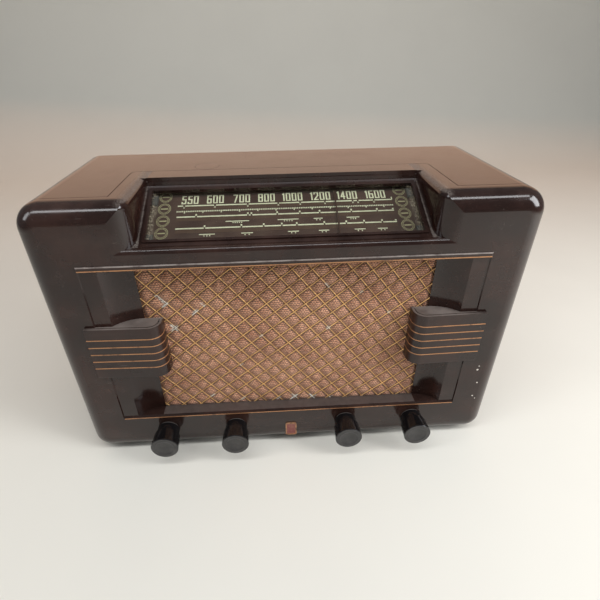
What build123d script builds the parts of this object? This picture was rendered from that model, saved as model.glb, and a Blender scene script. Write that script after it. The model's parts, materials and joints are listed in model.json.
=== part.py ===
"""Bakelite table radio: two-piece cabinet, sloping dial, wire grille, four knobs and the works inside.

Millimetres, +Z up, front faces -Y.  The origin is the middle of the overall box, on the surface it stands on.
"""

import math
import os

from build123d import *

os.makedirs("parts", exist_ok=True)

# ---------------------------------------------------------------- driving sizes: cabinet
cabinet_width = 460.0
cabinet_height = 293.0
cabinet_depth = 184.0
wall = 4.0
top_corner = 22.0
bottom_corner = 20.0
front_rounding = 17.0
foot_height = 4.0
foot_radius = 9.0
foot_inset = 34.0
seam_depth = 22.0
seam_gap = 0.7
hood_half_width = 151.5
hood_depth = 103.0
hood_corner = 6.0

# ---------------------------------------------------------------- driving sizes: knobs and shafts
knob_reach = 28.0
knob_radius = 14.8
knob_body = 18.0
knob_rim_rounding = 1.6
knob_hub_step = 2.6
knob_hub_radius = knob_radius - knob_hub_step
knob_gap = 1.6
dimple_radius = 9.5
dimple_sink = 1.6
shaft_radius = 3.0
shaft_clearance = 0.08
panel_hole_clearance = 1.2
outer_knob_x = 140.0
inner_knob_x = 62.9
knob_height = 30.0

# ---------------------------------------------------------------- driving sizes: grille
recess_half_width = 187.0
recess_bottom = 49.8
recess_top = 233.0
cheek_depth = 1.2
cheek_draft = 0.8
cheek_fall = 13.3
cheek_radius = 36.0
opening_half_width = 142.5
ledge_height = 52.0
lip_height = 5.4
lip_proud = 1.8
trim_height = 1.0
trim_sink = 0.8
trim_proud = 0.2
lattice_angle = 38.7
rising_pitch = 12.94
rising_shift = -5.3
falling_pitch = 14.56
falling_shift = 5.3
wire_radius = 0.5
cloth_thickness = 0.6
baffle_thickness = 5.0
screen_overlap = 4.0
layer_gap = 0.1

# ---------------------------------------------------------------- driving sizes: louvre blocks
louvre_outer_x = 196.8
louvre_inner_x = 124.5
louvre_bottom = 113.8
louvre_height = 59.8
louvre_roll = 12.0
louvre_proud_out = 3.8
louvre_proud_in = 5.4
louvre_lines = 5
louvre_line_pitch = 8.7
louvre_groove_inset = 2.6
louvre_groove_width = 0.8
louvre_groove_sink = 1.6

# ---------------------------------------------------------------- driving sizes: badge
badge_width = 12.6
badge_rise = 19.0
badge_thickness = 1.6
badge_height = 20.4
badge_seat_margin = 0.8

# ---------------------------------------------------------------- driving sizes: dial
sill_height = 252.0
sill_flat = 8.0
sill_lip = 4.0
dial_half_width = 132.8
dial_rear_depth = 77.0
dial_rear_step = 1.4
dial_flare = 19.0
shoulder_rounding = 6.5
dial_tilt = 25.8
window_half_width = 126.0
window_low = 6.7
window_length = 61.8
bezel_width = 3.2
bezel_rise = 1.4
glass_sink = 2.0
glass_thickness = 3.0
glass_lap = 2.0
glass_clearance = 0.3
plate_sink = 7.5
plate_thickness = 1.0
plate_lap_low = 3.5
plate_lap_high = 8.0
pointer_width = 1.4
pointer_thickness = 0.8

# ---------------------------------------------------------------- driving sizes: tuning drive
pointer_travel = 194.8
pointer_rest_x = 50.0
drum_radius = 62.0
drum_flange = 2.0
drum_width = 7.0
pulley_radius = 6.0
pulley_flange = 1.0
pulley_width = 3.6
cord_radius = 0.4
pointer_cord_depth = 85.5
drive_cord_depth = 88.5
gang_x = 150.0
gang_height = 112.0
spindle_wheel_radius = 6.0
rail_radius = 1.2

# ---------------------------------------------------------------- driving sizes: chassis and works
chassis_half_width = 205.0
chassis_front = 93.0
chassis_rear = 168.0
deck_height = 66.0
sheet = 1.2
speaker_height = 143.0
speaker_radius = 84.0
speaker_hole = 72.0
cone_radius = 66.0
cone_travel = 1.0
magnet_radius = 32.0
panel_recess = 8.0
panel_thickness = 3.0
panel_gap = 0.6
lug_size = 14.0

# ---------------------------------------------------------------- values worked out from the driving sizes
overall_depth = cabinet_depth + knob_reach
front_y = knob_reach - overall_depth / 2
rear_y = front_y + cabinet_depth
half_width = cabinet_width / 2
panel_depth = cabinet_depth - panel_recess
tilt = math.radians(dial_tilt)


def depth(distance):
    """Y of a point this far behind the front face."""
    return front_y + distance


def height(distance):
    """Z of a point this far above the underside of the cabinet."""
    return foot_height + distance


def facing(y):
    """Upright plane across the cabinet at this Y; its normal points to the front."""
    return Plane.XZ.offset(-y)


def level(z):
    """Horizontal plane at this Z."""
    return Plane.XY.offset(z)


def upright(x):
    """Upright plane from front to rear at this X; local x runs to the rear."""
    return Plane.YZ.offset(x)


def across(x, z):
    """Axis from front to rear through this X and Z, for turned pieces."""
    return Axis((x, 0, z), (0, 1, 0))


def save(part, label):
    """Name a finished piece and write its STEP file."""
    part.label = label
    export_step(part, f"parts/{label}.step")


def dial_plane(offset=0.0):
    """Plane of the sloping dial; local y runs up the slope from the sill, its normal points out of the face."""
    normal = (0, -math.sin(tilt), math.cos(tilt))
    base = Plane(origin=(0, depth(sill_flat), height(sill_height)), x_dir=(1, 0, 0), z_dir=normal)
    return base.offset(offset)


def front_outline(plane, inset):
    """Front view of the cabinet as a sketch, drawn in by inset."""
    with BuildSketch(plane) as outline:
        with Locations((0, height(cabinet_height / 2))):
            Rectangle(cabinet_width - 2 * inset, cabinet_height - 2 * inset)
        fillet(outline.vertices().group_by(Axis.Y)[-1], radius=top_corner - inset)
        fillet(outline.vertices().sort_by(Axis.Y)[0:2], radius=bottom_corner - inset)
    return outline.sketch


def slope_height(distance):
    """Height above the cabinet's underside of the dial's slope, this far behind the front face."""
    return sill_height + (distance - sill_flat) * math.tan(tilt)


# ---------------------------------------------------------------- cabinet form
with BuildPart() as envelope:
    extrude(front_outline(facing(rear_y), 0), amount=cabinet_depth)
    fillet(envelope.faces().sort_by(Axis.Y)[0].edges(), radius=front_rounding)

with BuildPart() as cavity:
    extrude(front_outline(facing(rear_y + wall), wall), amount=cabinet_depth)
    fillet(cavity.faces().sort_by(Axis.Y)[0].edges(), radius=front_rounding - wall)


def dial_recess(grow):
    """Solid that fills the dial recess, with its walls and floor moved out by grow."""
    reach = 30.0
    over = 40.0
    side = dial_half_width + grow
    flare_end = dial_half_width + dial_flare + reach
    front_edge = front_y + grow
    rear_edge = depth(dial_rear_depth) + grow
    floor_rear = height(slope_height(dial_rear_depth + grow)) - grow / math.cos(tilt)
    lip_low = (front_edge, height(sill_height) - sill_lip - grow)
    lip_high = (front_edge + sill_lip, height(sill_height) - grow)
    with BuildPart() as form:
        with BuildSketch(level(height(sill_height) - over)) as plan:
            with BuildLine():
                Polyline(
                    (-flare_end, front_y - reach),
                    (-flare_end, front_edge),
                    (-side, front_edge),
                    (-side, rear_edge),
                    (side, rear_edge),
                    (side, front_edge),
                    (flare_end, front_edge),
                    (flare_end, front_y - reach),
                    close=True,
                )
            make_face()
            flare_corners = plan.vertices().filter_by(
                lambda corner: abs(corner.Y - front_edge) < 0.01 and abs(corner.X) < side + 1
            )
            fillet(flare_corners, radius=dial_flare - grow)
        extrude(amount=cabinet_height)
        with BuildSketch(upright(0)):
            with BuildLine():
                Line((front_y - reach, lip_low[1]), lip_low)
                RadiusArc(lip_low, lip_high, sill_lip)
                Polyline(
                    lip_high,
                    (depth(sill_flat) + grow * math.tan(tilt / 2), height(sill_height) - grow),
                    (rear_edge, floor_rear),
                    (rear_edge, height(cabinet_height) + reach),
                    (front_y - reach, height(cabinet_height) + reach),
                    (front_y - reach, lip_low[1]),
                )
            make_face()
        extrude(amount=cabinet_width, both=True, mode=Mode.INTERSECT)
    return form


recess_skin = dial_recess(wall)
recess_core = dial_recess(0.0)

# rounds the recess's upper edges: straight along its side walls, turned about the flares
flare_centre = (dial_half_width + dial_flare, front_y + dial_flare)
top_z = height(cabinet_height)


def rounded_corner(edge_x, x_out, plane):
    """Sketch of the waste outside a quarter round: edge_x is the wall, x_out the side that the solid is on."""
    with BuildSketch(plane) as waste:
        with BuildLine():
            Polyline(
                (edge_x, top_z - shoulder_rounding),
                (edge_x - x_out, top_z - shoulder_rounding),
                (edge_x - x_out, top_z + 1),
                (edge_x + x_out * shoulder_rounding, top_z + 1),
                (edge_x + x_out * shoulder_rounding, top_z),
            )
            RadiusArc(
                (edge_x + x_out * shoulder_rounding, top_z), (edge_x, top_z - shoulder_rounding), -x_out * shoulder_rounding
            )
        make_face()
    return waste.sketch


with BuildPart() as shoulder_cut:
    extrude(rounded_corner(dial_half_width, 1, facing(depth(dial_rear_depth))), amount=dial_rear_depth - dial_flare)
    revolve(
        rounded_corner(dial_half_width, 1, facing(flare_centre[1])),
        axis=Axis((flare_centre[0], flare_centre[1], 0), (0, 0, 1)),
        revolution_arc=90,
    )
    mirror(about=Plane.YZ)

with BuildPart() as front_region:
    with BuildSketch(facing(depth(seam_depth))):
        with Locations((0, height(cabinet_height / 2))):
            Rectangle(2 * cabinet_width, 2 * cabinet_height)
    extrude(amount=2 * seam_depth)
    with BuildSketch(level(height(sill_height) - 2 * wall)) as hood:
        with Locations((0, depth(hood_depth / 2))):
            Rectangle(2 * hood_half_width, hood_depth)
        fillet(hood.vertices().group_by(Axis.Y)[-1], radius=hood_corner)
    extrude(amount=cabinet_height)

with BuildPart() as seam_region:
    with BuildSketch(facing(depth(seam_depth) + seam_gap)):
        with Locations((0, height(cabinet_height / 2))):
            Rectangle(2 * cabinet_width, 2 * cabinet_height)
    extrude(amount=2 * seam_depth)
    with BuildSketch(level(height(sill_height) - 2 * wall - seam_gap)) as hood:
        with Locations((0, depth(hood_depth / 2) + seam_gap)):
            Rectangle(2 * (hood_half_width + seam_gap), hood_depth)
        fillet(hood.vertices().group_by(Axis.Y)[-1], radius=hood_corner + seam_gap)
    extrude(amount=cabinet_height)

# ---------------------------------------------------------------- front moulding
screen_depth = cheek_depth + cheek_fall
roll_centre_depth = cheek_depth + cheek_radius
roll_centre_x = opening_half_width + math.sqrt(cheek_fall * (2 * cheek_radius - cheek_fall))
knob_places = [
    (-outer_knob_x, height(knob_height)),
    (-inner_knob_x, height(knob_height)),
    (inner_knob_x, height(knob_height)),
    (outer_knob_x, height(knob_height)),
]
recess_middle = (recess_bottom + recess_top) / 2
recess_rise = recess_top - recess_bottom

with BuildPart() as grille_core:
    with BuildSketch(level(height(recess_bottom))) as plan:
        with BuildLine():
            Polyline(
                (0, front_y - lip_proud),
                (recess_half_width, front_y - lip_proud),
                (recess_half_width, front_y),
                (recess_half_width - cheek_draft, depth(cheek_depth)),
                (roll_centre_x, depth(cheek_depth)),
            )
            RadiusArc((roll_centre_x, depth(cheek_depth)), (opening_half_width, depth(screen_depth)), -cheek_radius)
            Polyline(
                (opening_half_width, depth(screen_depth)),
                (opening_half_width, depth(screen_depth + wall)),
                (0, depth(screen_depth + wall)),
                (0, front_y - lip_proud),
            )
        make_face()
        mirror(about=Plane.YZ)
    extrude(amount=recess_rise)
    with BuildSketch(upright(0)):
        with BuildLine():
            Polyline(
                (front_y - 2 * lip_proud, height(recess_bottom)),
                (front_y, height(recess_bottom)),
                (depth(cheek_depth), height(ledge_height) + 0.5),
                (depth(screen_depth + 2 * wall), height(ledge_height)),
                (depth(screen_depth + 2 * wall), height(recess_top)),
                (front_y - 2 * lip_proud, height(recess_top)),
                close=True,
            )
        make_face()
    extrude(amount=cabinet_width, both=True, mode=Mode.INTERSECT)

with BuildPart() as grille_skin:
    with BuildSketch(facing(depth(cheek_depth + wall))):
        with Locations((0, height(recess_middle))):
            Rectangle(2 * (recess_half_width + wall), recess_rise + 2 * wall)
    extrude(amount=cheek_depth + wall / 2)
    with BuildSketch(facing(depth(screen_depth))):
        with Locations((0, height(recess_middle))):
            Rectangle(2 * (roll_centre_x + wall), recess_rise + 2 * wall)
    extrude(amount=screen_depth - wall / 2)

window_middle = window_low + window_length / 2

with BuildPart() as front_moulding:
    add(envelope.part)
    add(cavity.part, mode=Mode.SUBTRACT)
    add(grille_skin.part)
    add(recess_skin.part & envelope.part)
    add(recess_core.part, mode=Mode.SUBTRACT)
    add(shoulder_cut.part, mode=Mode.SUBTRACT)
    add(grille_core.part, mode=Mode.SUBTRACT)
    # flat seat that carries the badge over the rounded lower edge
    with BuildSketch(facing(front_y + wall)):
        with Locations((0, height(badge_height))):
            RectangleRounded(badge_width + 2 * badge_seat_margin, badge_rise + 2 * badge_seat_margin, 2.4)
    extrude(amount=wall)
    add(front_region.part, mode=Mode.INTERSECT)
    # raised frame on the sloping floor, the window through it and a rebate under it for the glass
    with BuildSketch(dial_plane(-1)):
        with Locations((0, window_middle)):
            RectangleRounded(2 * (window_half_width + bezel_width), window_length + 2 * bezel_width, 1.5)
    extrude(amount=1 + bezel_rise, taper=12)
    with BuildSketch(dial_plane(-2 * wall)):
        with Locations((0, window_middle)):
            RectangleRounded(2 * window_half_width, window_length, 1.0)
    extrude(amount=3 * wall, mode=Mode.SUBTRACT)
    # upper half of the recess's rear wall steps back
    with BuildSketch(facing(depth(dial_rear_depth) + dial_rear_step)):
        with Locations((0, height(cabinet_height))):
            Rectangle(2 * dial_half_width, 2 * 3.6)
    extrude(amount=2 * dial_rear_step, mode=Mode.SUBTRACT)
    with BuildSketch(dial_plane(-wall - 1)):
        with Locations((0, window_middle)):
            Rectangle(
                2 * (window_half_width + glass_lap + glass_clearance),
                window_length + 2 * (glass_lap + glass_clearance),
            )
    extrude(amount=wall + 1 - glass_sink, mode=Mode.SUBTRACT)
    # rounded lip over the grille
    with BuildSketch(facing(front_y + 1)):
        with Locations((0, height(recess_top + lip_height / 2))):
            Rectangle(2 * recess_half_width, lip_height)
    extrude(amount=lip_proud + 1)
    lip_front = front_moulding.edges().filter_by(GeomType.LINE).group_by(Axis.Y)[0]
    fillet(lip_front, radius=0.8 * lip_proud)
    # grooves for the copper trim, on the lip and under the ledge
    with BuildSketch(facing(front_y + trim_sink)):
        with Locations((0, height(recess_bottom - 1.6 * trim_height / 2))):
            Rectangle(2 * recess_half_width - 2, trim_height)
    extrude(amount=trim_sink + 1, mode=Mode.SUBTRACT)
    with BuildSketch(facing(front_y - lip_proud + trim_sink)):
        with Locations((0, height(recess_top + lip_height / 2 - 1.2))):
            Rectangle(2 * recess_half_width - 2, trim_height)
    extrude(amount=trim_sink + 1, mode=Mode.SUBTRACT)
    # holes for the four control shafts
    with BuildSketch(facing(front_y + 2 * wall)):
        with Locations(*knob_places):
            Circle(shaft_radius + panel_hole_clearance)
    extrude(amount=4 * wall, mode=Mode.SUBTRACT)
save(front_moulding.part, "front_moulding")

with BuildPart() as grille_trim:
    with BuildSketch(facing(front_y + trim_sink)):
        with Locations((0, height(recess_bottom - 1.6 * trim_height / 2))):
            Rectangle(2 * recess_half_width - 2, trim_height)
    extrude(amount=trim_sink + trim_proud)
    with BuildSketch(facing(front_y - lip_proud + trim_sink)):
        with Locations((0, height(recess_top + lip_height / 2 - 1.2))):
            Rectangle(2 * recess_half_width - 2, trim_height)
    extrude(amount=trim_sink + trim_proud)
save(grille_trim.part, "grille_trim")

# ---------------------------------------------------------------- rear shell
panel_inset = wall + panel_gap
lug_places = [
    (sign * (half_width - wall - lug_size / 2), height(level_up))
    for sign in (-1, 1)
    for level_up in (50, 150, 240)
]
grommet_place = (-150.0, height(34))
chassis_bolts = [(sign * 150, depth(where)) for sign in (-1, 1) for where in (105, 156)]

with BuildPart() as cabinet_shell:
    add(envelope.part)
    add(cavity.part, mode=Mode.SUBTRACT)
    add(seam_region.part, mode=Mode.SUBTRACT)
    with BuildSketch(facing(depth(panel_depth))):
        with Locations(*lug_places):
            Rectangle(lug_size + wall / 2, lug_size)
    extrude(amount=lug_size)
    with BuildSketch(facing(depth(panel_depth))):
        with Locations(*lug_places):
            Circle(1.5)
    extrude(amount=lug_size / 2, mode=Mode.SUBTRACT)
    with BuildSketch(level(height(-1))):
        with Locations(*chassis_bolts):
            Circle(2.6)
    extrude(amount=wall + 2, mode=Mode.SUBTRACT)
    fillet(cabinet_shell.faces().sort_by(Axis.Y)[-1].outer_wire().edges(), radius=1.5)
save(cabinet_shell.part, "cabinet_shell")

# ---------------------------------------------------------------- feet
foot_places = [
    (sign * (half_width - foot_inset), y)
    for sign in (-1, 1)
    for y in (depth(foot_inset), rear_y - foot_inset)
]
with BuildPart() as rubber_feet:
    with BuildSketch(level(0)):
        with Locations(*foot_places):
            Circle(foot_radius)
    extrude(amount=foot_height)
    fillet(rubber_feet.faces().sort_by(Axis.Z)[0:4].edges(), radius=1.2)
save(rubber_feet.part, "rubber_feet")

# ---------------------------------------------------------------- louvre blocks with copper lines
louvre_arc_x = louvre_inner_x + louvre_roll
louvre_arc_y = front_y - louvre_proud_in + louvre_roll
louvre_back = screen_depth - 0.6
seat_gap = 0.1
line_heights = [
    louvre_bottom + louvre_height / 2 + (index - (louvre_lines - 1) / 2) * louvre_line_pitch
    for index in range(louvre_lines)
]


def louvre_face(inset, back):
    """Front face and rolled inner end of a louvre block in plan, drawn in by inset, back to this depth."""
    Polyline(
        (louvre_outer_x, front_y - louvre_proud_out + inset),
        (louvre_arc_x, front_y - louvre_proud_in + inset),
    )
    CenterArc((louvre_arc_x, louvre_arc_y), louvre_roll - inset, -90, -90)
    Line((louvre_inner_x + inset, louvre_arc_y), (louvre_inner_x + inset, depth(back)))


with BuildPart() as louvre_right:
    with BuildSketch(level(height(louvre_bottom))):
        with BuildLine():
            louvre_face(0, louvre_back)
            roll_gap = cheek_radius + seat_gap
            seat_drop = math.acos((roll_centre_depth - louvre_back) / roll_gap)
            seat_end_x = roll_centre_x - roll_gap * math.sin(seat_drop)
            Line((louvre_inner_x, depth(louvre_back)), (seat_end_x, depth(louvre_back)))
            seat_front = (roll_centre_x, depth(cheek_depth) - seat_gap)
            RadiusArc((seat_end_x, depth(louvre_back)), seat_front, roll_gap)
            Polyline(
                seat_front,
                (recess_half_width - cheek_draft - seat_gap, depth(cheek_depth) - seat_gap),
                (recess_half_width - seat_gap, front_y),
                (louvre_outer_x, front_y),
                (louvre_outer_x, front_y - louvre_proud_out),
            )
        make_face()
    extrude(amount=louvre_height)
    for line_height in line_heights:
        with BuildSketch(level(height(line_height) - trim_height / 2)):
            with BuildLine():
                louvre_face(-1, louvre_back + 1)
                louvre_face(trim_sink, louvre_back + 1)
                Line(
                    (louvre_outer_x, front_y - louvre_proud_out - 1),
                    (louvre_outer_x, front_y - louvre_proud_out + trim_sink),
                )
                Line(
                    (louvre_inner_x - 1, depth(louvre_back + 1)),
                    (louvre_inner_x + trim_sink, depth(louvre_back + 1)),
                )
            make_face()
        extrude(amount=trim_height, mode=Mode.SUBTRACT)
    # groove in the top face that follows the front and the rolled end
    with BuildSketch(level(height(louvre_bottom + louvre_height))):
        with BuildLine():
            groove_out = louvre_groove_inset + louvre_groove_width
            groove_back = louvre_back - 3
            louvre_face(louvre_groove_inset, groove_back)
            louvre_face(groove_out, groove_back)
            Line(
                (louvre_outer_x, front_y - louvre_proud_out + louvre_groove_inset),
                (louvre_outer_x, front_y - louvre_proud_out + groove_out),
            )
            Line(
                (louvre_inner_x + louvre_groove_inset, depth(groove_back)),
                (louvre_inner_x + groove_out, depth(groove_back)),
            )
        make_face()
    extrude(amount=-louvre_groove_sink, mode=Mode.SUBTRACT)
save(louvre_right.part, "louvre_right")

with BuildPart() as louvre_left:
    add(mirror(louvre_right.part, about=Plane.YZ, mode=Mode.PRIVATE))
save(louvre_left.part, "louvre_left")

with BuildPart() as louvre_lines:
    for line_height in line_heights:
        with BuildSketch(level(height(line_height) - trim_height / 2)):
            with BuildLine():
                louvre_face(-trim_proud, louvre_back)
                louvre_face(trim_sink, louvre_back)
                Line(
                    (louvre_outer_x, front_y - louvre_proud_out - trim_proud),
                    (louvre_outer_x, front_y - louvre_proud_out + trim_sink),
                )
                Line(
                    (louvre_inner_x - trim_proud, depth(louvre_back)),
                    (louvre_inner_x + trim_sink, depth(louvre_back)),
                )
            make_face()
        extrude(amount=trim_height)
    mirror(about=Plane.YZ)
save(louvre_lines.part, "louvre_lines")

# ---------------------------------------------------------------- badge plaque
with BuildPart() as badge:
    with BuildSketch(facing(front_y)):
        with Locations((0, height(badge_height))):
            RectangleRounded(badge_width, badge_rise, 2.4)
    extrude(amount=badge_thickness)
    with BuildSketch(facing(front_y - badge_thickness + 0.5)):
        with Locations((0, height(badge_height))):
            RectangleRounded(badge_width - 2, badge_rise - 2, 1.6)
    extrude(amount=1, mode=Mode.SUBTRACT)
save(badge.part, "badge_plaque")

# ---------------------------------------------------------------- wire lattice, cloth and baffle
screen_half_width = opening_half_width + screen_overlap
screen_low = recess_bottom - 2.0
screen_high = recess_top + 2.0
screen_middle = (screen_low + screen_high) / 2
screen_rise = screen_high - screen_low
lattice_depth = screen_depth + layer_gap + wire_radius
cloth_depth = lattice_depth + 3 * wire_radius + layer_gap
baffle_depth = cloth_depth + cloth_thickness


def lattice_spans(angle, pitch, shift):
    """Middle point and length of each wire of one family, cut to the screen's rectangle."""
    along = (math.cos(math.radians(angle)), math.sin(math.radians(angle)))
    aside = (-along[1], along[0])
    count = math.ceil(math.hypot(screen_half_width, screen_rise / 2) / pitch) + 1
    spans = []
    for index in range(-count, count + 1):
        foot = (aside[0] * (index * pitch + shift), aside[1] * (index * pitch + shift))
        x_ends = sorted((edge - foot[0]) / along[0] for edge in (-screen_half_width, screen_half_width))
        z_ends = sorted((edge - foot[1]) / along[1] for edge in (-screen_rise / 2, screen_rise / 2))
        start = max(x_ends[0], z_ends[0])
        stop = min(x_ends[1], z_ends[1])
        if stop - start > pitch / 2:
            middle = (start + stop) / 2
            spans.append((foot[0] + along[0] * middle, foot[1] + along[1] * middle, stop - start))
    return spans


with BuildPart() as grille_lattice:
    families = ((lattice_angle, rising_pitch, rising_shift), (lattice_angle + 90, falling_pitch, falling_shift))
    for layer, (angle, pitch, shift) in enumerate(families):
        wire_y = depth(lattice_depth + layer * (2 * wire_radius + 0.02))
        heading = (math.cos(math.radians(angle)), 0, math.sin(math.radians(angle)))
        for x, z, length in lattice_spans(angle, pitch, shift):
            start = (
                x - heading[0] * length / 2,
                wire_y,
                height(screen_middle) + z - heading[2] * length / 2,
            )
            with BuildSketch(Plane(origin=start, z_dir=heading)):
                Circle(wire_radius)
            extrude(amount=length)
save(grille_lattice.part, "grille_lattice")

with BuildPart() as speaker_cloth:
    with BuildSketch(facing(depth(cloth_depth + cloth_thickness))):
        with Locations((0, height(screen_middle))):
            Rectangle(2 * screen_half_width, screen_rise)
    extrude(amount=cloth_thickness)
save(speaker_cloth.part, "speaker_cloth")

baffle_margin = 8.0
baffle_rear = baffle_depth + baffle_thickness
with BuildPart() as baffle_board:
    with BuildSketch(facing(depth(baffle_rear))):
        with Locations((0, height(screen_middle))):
            Rectangle(2 * (screen_half_width + baffle_margin), screen_rise)
        with Locations((0, height(speaker_height))):
            Circle(speaker_hole, mode=Mode.SUBTRACT)
    extrude(amount=baffle_thickness)
save(baffle_board.part, "baffle_board")

# ---------------------------------------------------------------- loudspeaker
gasket = 0.8
flange_front = baffle_rear + gasket
basket_front = flange_front + 1.5
basket_rear = basket_front + 36.0
magnet_rear = basket_rear + 1.5 + 27.0
coil_radius = 12.0
gap_radius = 13.2
pole_radius = 10.8
speaker_axis = across(0, height(speaker_height))


def speaker_profile(*points):
    """Closed profile of (depth, radius) points above the speaker's axis, as a sketch to revolve."""
    with BuildSketch(upright(0)) as profile:
        with BuildLine():
            Polyline(*[(depth(d), height(speaker_height) + r) for d, r in points], close=True)
        make_face()
    return profile.sketch


with BuildPart() as speaker_surround:
    revolve(
        speaker_profile(
            (baffle_rear, cone_radius + 1),
            (baffle_rear, speaker_radius),
            (flange_front, speaker_radius),
            (flange_front, cone_radius + 1),
        ),
        axis=speaker_axis,
    )
save(speaker_surround.part, "speaker_surround")

with BuildPart() as speaker_frame:
    revolve(
        speaker_profile(
            (flange_front, 70),
            (flange_front, speaker_radius),
            (basket_front, speaker_radius),
            (basket_front, 72.5),
            (basket_rear, 38),
            (basket_rear + 1.5, 38),
            (basket_rear + 1.5, gap_radius + 1),
            (basket_rear, gap_radius + 1),
            (basket_rear, 36),
            (basket_front - 0.5, 70),
        ),
        axis=speaker_axis,
    )
    with BuildSketch(facing(depth(basket_rear - 4))):
        with Locations((0, height(speaker_height))):
            with PolarLocations(54, 4, start_angle=45):
                Rectangle(26, 44)
    extrude(amount=basket_rear - basket_front - 10, mode=Mode.SUBTRACT)
save(speaker_frame.part, "speaker_frame")

with BuildPart() as speaker_magnet:
    revolve(
        speaker_profile(
            (basket_rear + 1.5, gap_radius),
            (basket_rear + 1.5, magnet_radius),
            (magnet_rear, magnet_radius),
            (magnet_rear, 0),
            (basket_rear + 1.5, 0),
            (basket_rear + 1.5, pole_radius),
            (basket_rear + 15, pole_radius),
            (basket_rear + 15, gap_radius),
        ),
        axis=speaker_axis,
    )
save(speaker_magnet.part, "speaker_magnet")

cone_front = flange_front + cone_travel + 0.6
cone_neck = basket_front + 24.0
with BuildPart() as speaker_cone:
    revolve(
        speaker_profile(
            (cone_front, cone_radius),
            (cone_neck, coil_radius),
            (basket_rear + 6, coil_radius),
            (basket_rear + 6, coil_radius - 0.4),
            (cone_neck - 1.5, coil_radius - 0.4),
            (cone_neck - 5.0, 7),
            (cone_neck - 6.5, 0),
            (cone_neck - 7.5, 0),
            (cone_neck - 5.8, 7.4),
            (cone_neck - 2.6, coil_radius + 0.2),
            (cone_front, cone_radius - 1.8),
        ),
        axis=speaker_axis,
    )
save(speaker_cone.part, "speaker_cone")

spider_front = basket_rear - 4.0
with BuildPart() as speaker_spider:
    revolve(
        speaker_profile(
            (spider_front, coil_radius + 0.8),
            (spider_front, 30),
            (basket_rear, 33),
            (basket_rear, 34),
            (spider_front - 0.6, 30.6),
            (spider_front - 0.6, coil_radius + 0.8),
        ),
        axis=speaker_axis,
    )
save(speaker_spider.part, "speaker_spider")

speaker_screw_places = [
    (
        (speaker_radius - 5) * math.cos(math.radians(45 + 90 * index)),
        height(speaker_height) + (speaker_radius - 5) * math.sin(math.radians(45 + 90 * index)),
    )
    for index in range(4)
]
with BuildPart() as output_transformer:
    with BuildSketch(facing(depth(basket_rear + 27))):
        with Locations((0, height(speaker_height) + magnet_radius + 15)):
            Rectangle(36, 29)
            Rectangle(22, 15, mode=Mode.SUBTRACT)
    extrude(amount=16)
    with BuildSketch(facing(depth(basket_rear + 34))):
        with Locations((0, height(speaker_height) + magnet_radius + 15)):
            Rectangle(21.8, 14.8)
    extrude(amount=30)
save(output_transformer.part, "output_transformer")

# ---------------------------------------------------------------- dial glass, plate and clips
glass_half = window_half_width + glass_lap
with BuildPart() as dial_glass:
    with BuildSketch(dial_plane(-glass_sink - layer_gap - glass_thickness)):
        with Locations((0, window_middle)):
            Rectangle(2 * glass_half, window_length + 2 * glass_lap)
    extrude(amount=glass_thickness)
save(dial_glass.part, "dial_glass")

plate_low = window_low - plate_lap_low
plate_high = window_low + window_length + plate_lap_high
with BuildPart() as dial_plate:
    with BuildSketch(dial_plane(-plate_sink - plate_thickness)):
        with Locations((0, (plate_low + plate_high) / 2)):
            Rectangle(2 * glass_half, plate_high - plate_low)
    extrude(amount=plate_thickness)
save(dial_plate.part, "dial_plate")

clip_width = 6.0
clip_places = [
    (sign * (glass_half - clip_width / 2), where)
    for sign in (-1, 1)
    for where in (window_low + 6, window_low + window_length - 6)
]
with BuildPart() as dial_clips:
    with BuildSketch(dial_plane(-plate_sink)):
        with Locations(*clip_places):
            Rectangle(clip_width, 2 * clip_width)
    extrude(amount=plate_sink - glass_sink - layer_gap - glass_thickness)
save(dial_clips.part, "dial_clips")

lamp_x = glass_half + 8.0
lamp_sink = 17.0


def lamp_plane_at(sign, along):
    """Plane through a dial lamp's axis, below the dial's slope at one end of the glass; local y is the axis."""
    base = dial_plane(-lamp_sink)
    return Plane(origin=base.from_local_coords(Vector(sign * lamp_x, along, 0)), x_dir=(1, 0, 0), z_dir=base.z_dir)


with BuildPart() as dial_lamps:
    for sign in (-1, 1):
        lamp_plane = lamp_plane_at(sign, window_middle)
        with BuildSketch(lamp_plane):
            with BuildLine():
                Polyline((0, -7), (3.2, -7), (3.2, 0))
                Spline((3.2, 0), (5, 6), (0, 12))
                Line((0, 12), (0, -7))
            make_face()
        revolve(axis=Axis(lamp_plane.origin, lamp_plane.y_dir))
save(dial_lamps.part, "dial_lamps")

with BuildPart() as lamp_holders:
    for sign in (-1, 1):
        foot = lamp_plane_at(sign, window_middle - 18)
        with BuildSketch(Plane(origin=foot.origin, x_dir=(1, 0, 0), z_dir=foot.y_dir)):
            Circle(4.6)
        extrude(amount=11)
save(lamp_holders.part, "lamp_holders")

# ---------------------------------------------------------------- pointer, rail, pulleys and cords
upper_run = height(279.2)
lower_run = upper_run - 2 * pulley_radius
left_pulley = (-118.0, upper_run - pulley_radius)
right_pulley = (gang_x + drum_radius - pulley_radius, upper_run - pulley_radius)
turn_pulley = (gang_x - drum_radius - pulley_radius, lower_run - pulley_radius)
rail_z = upper_run + 4.3
rail_y = depth(pointer_cord_depth)
plate_front = depth(pointer_cord_depth) + pulley_width / 2 + 3.0
pulley_bore = 1.5 + shaft_clearance

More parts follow.
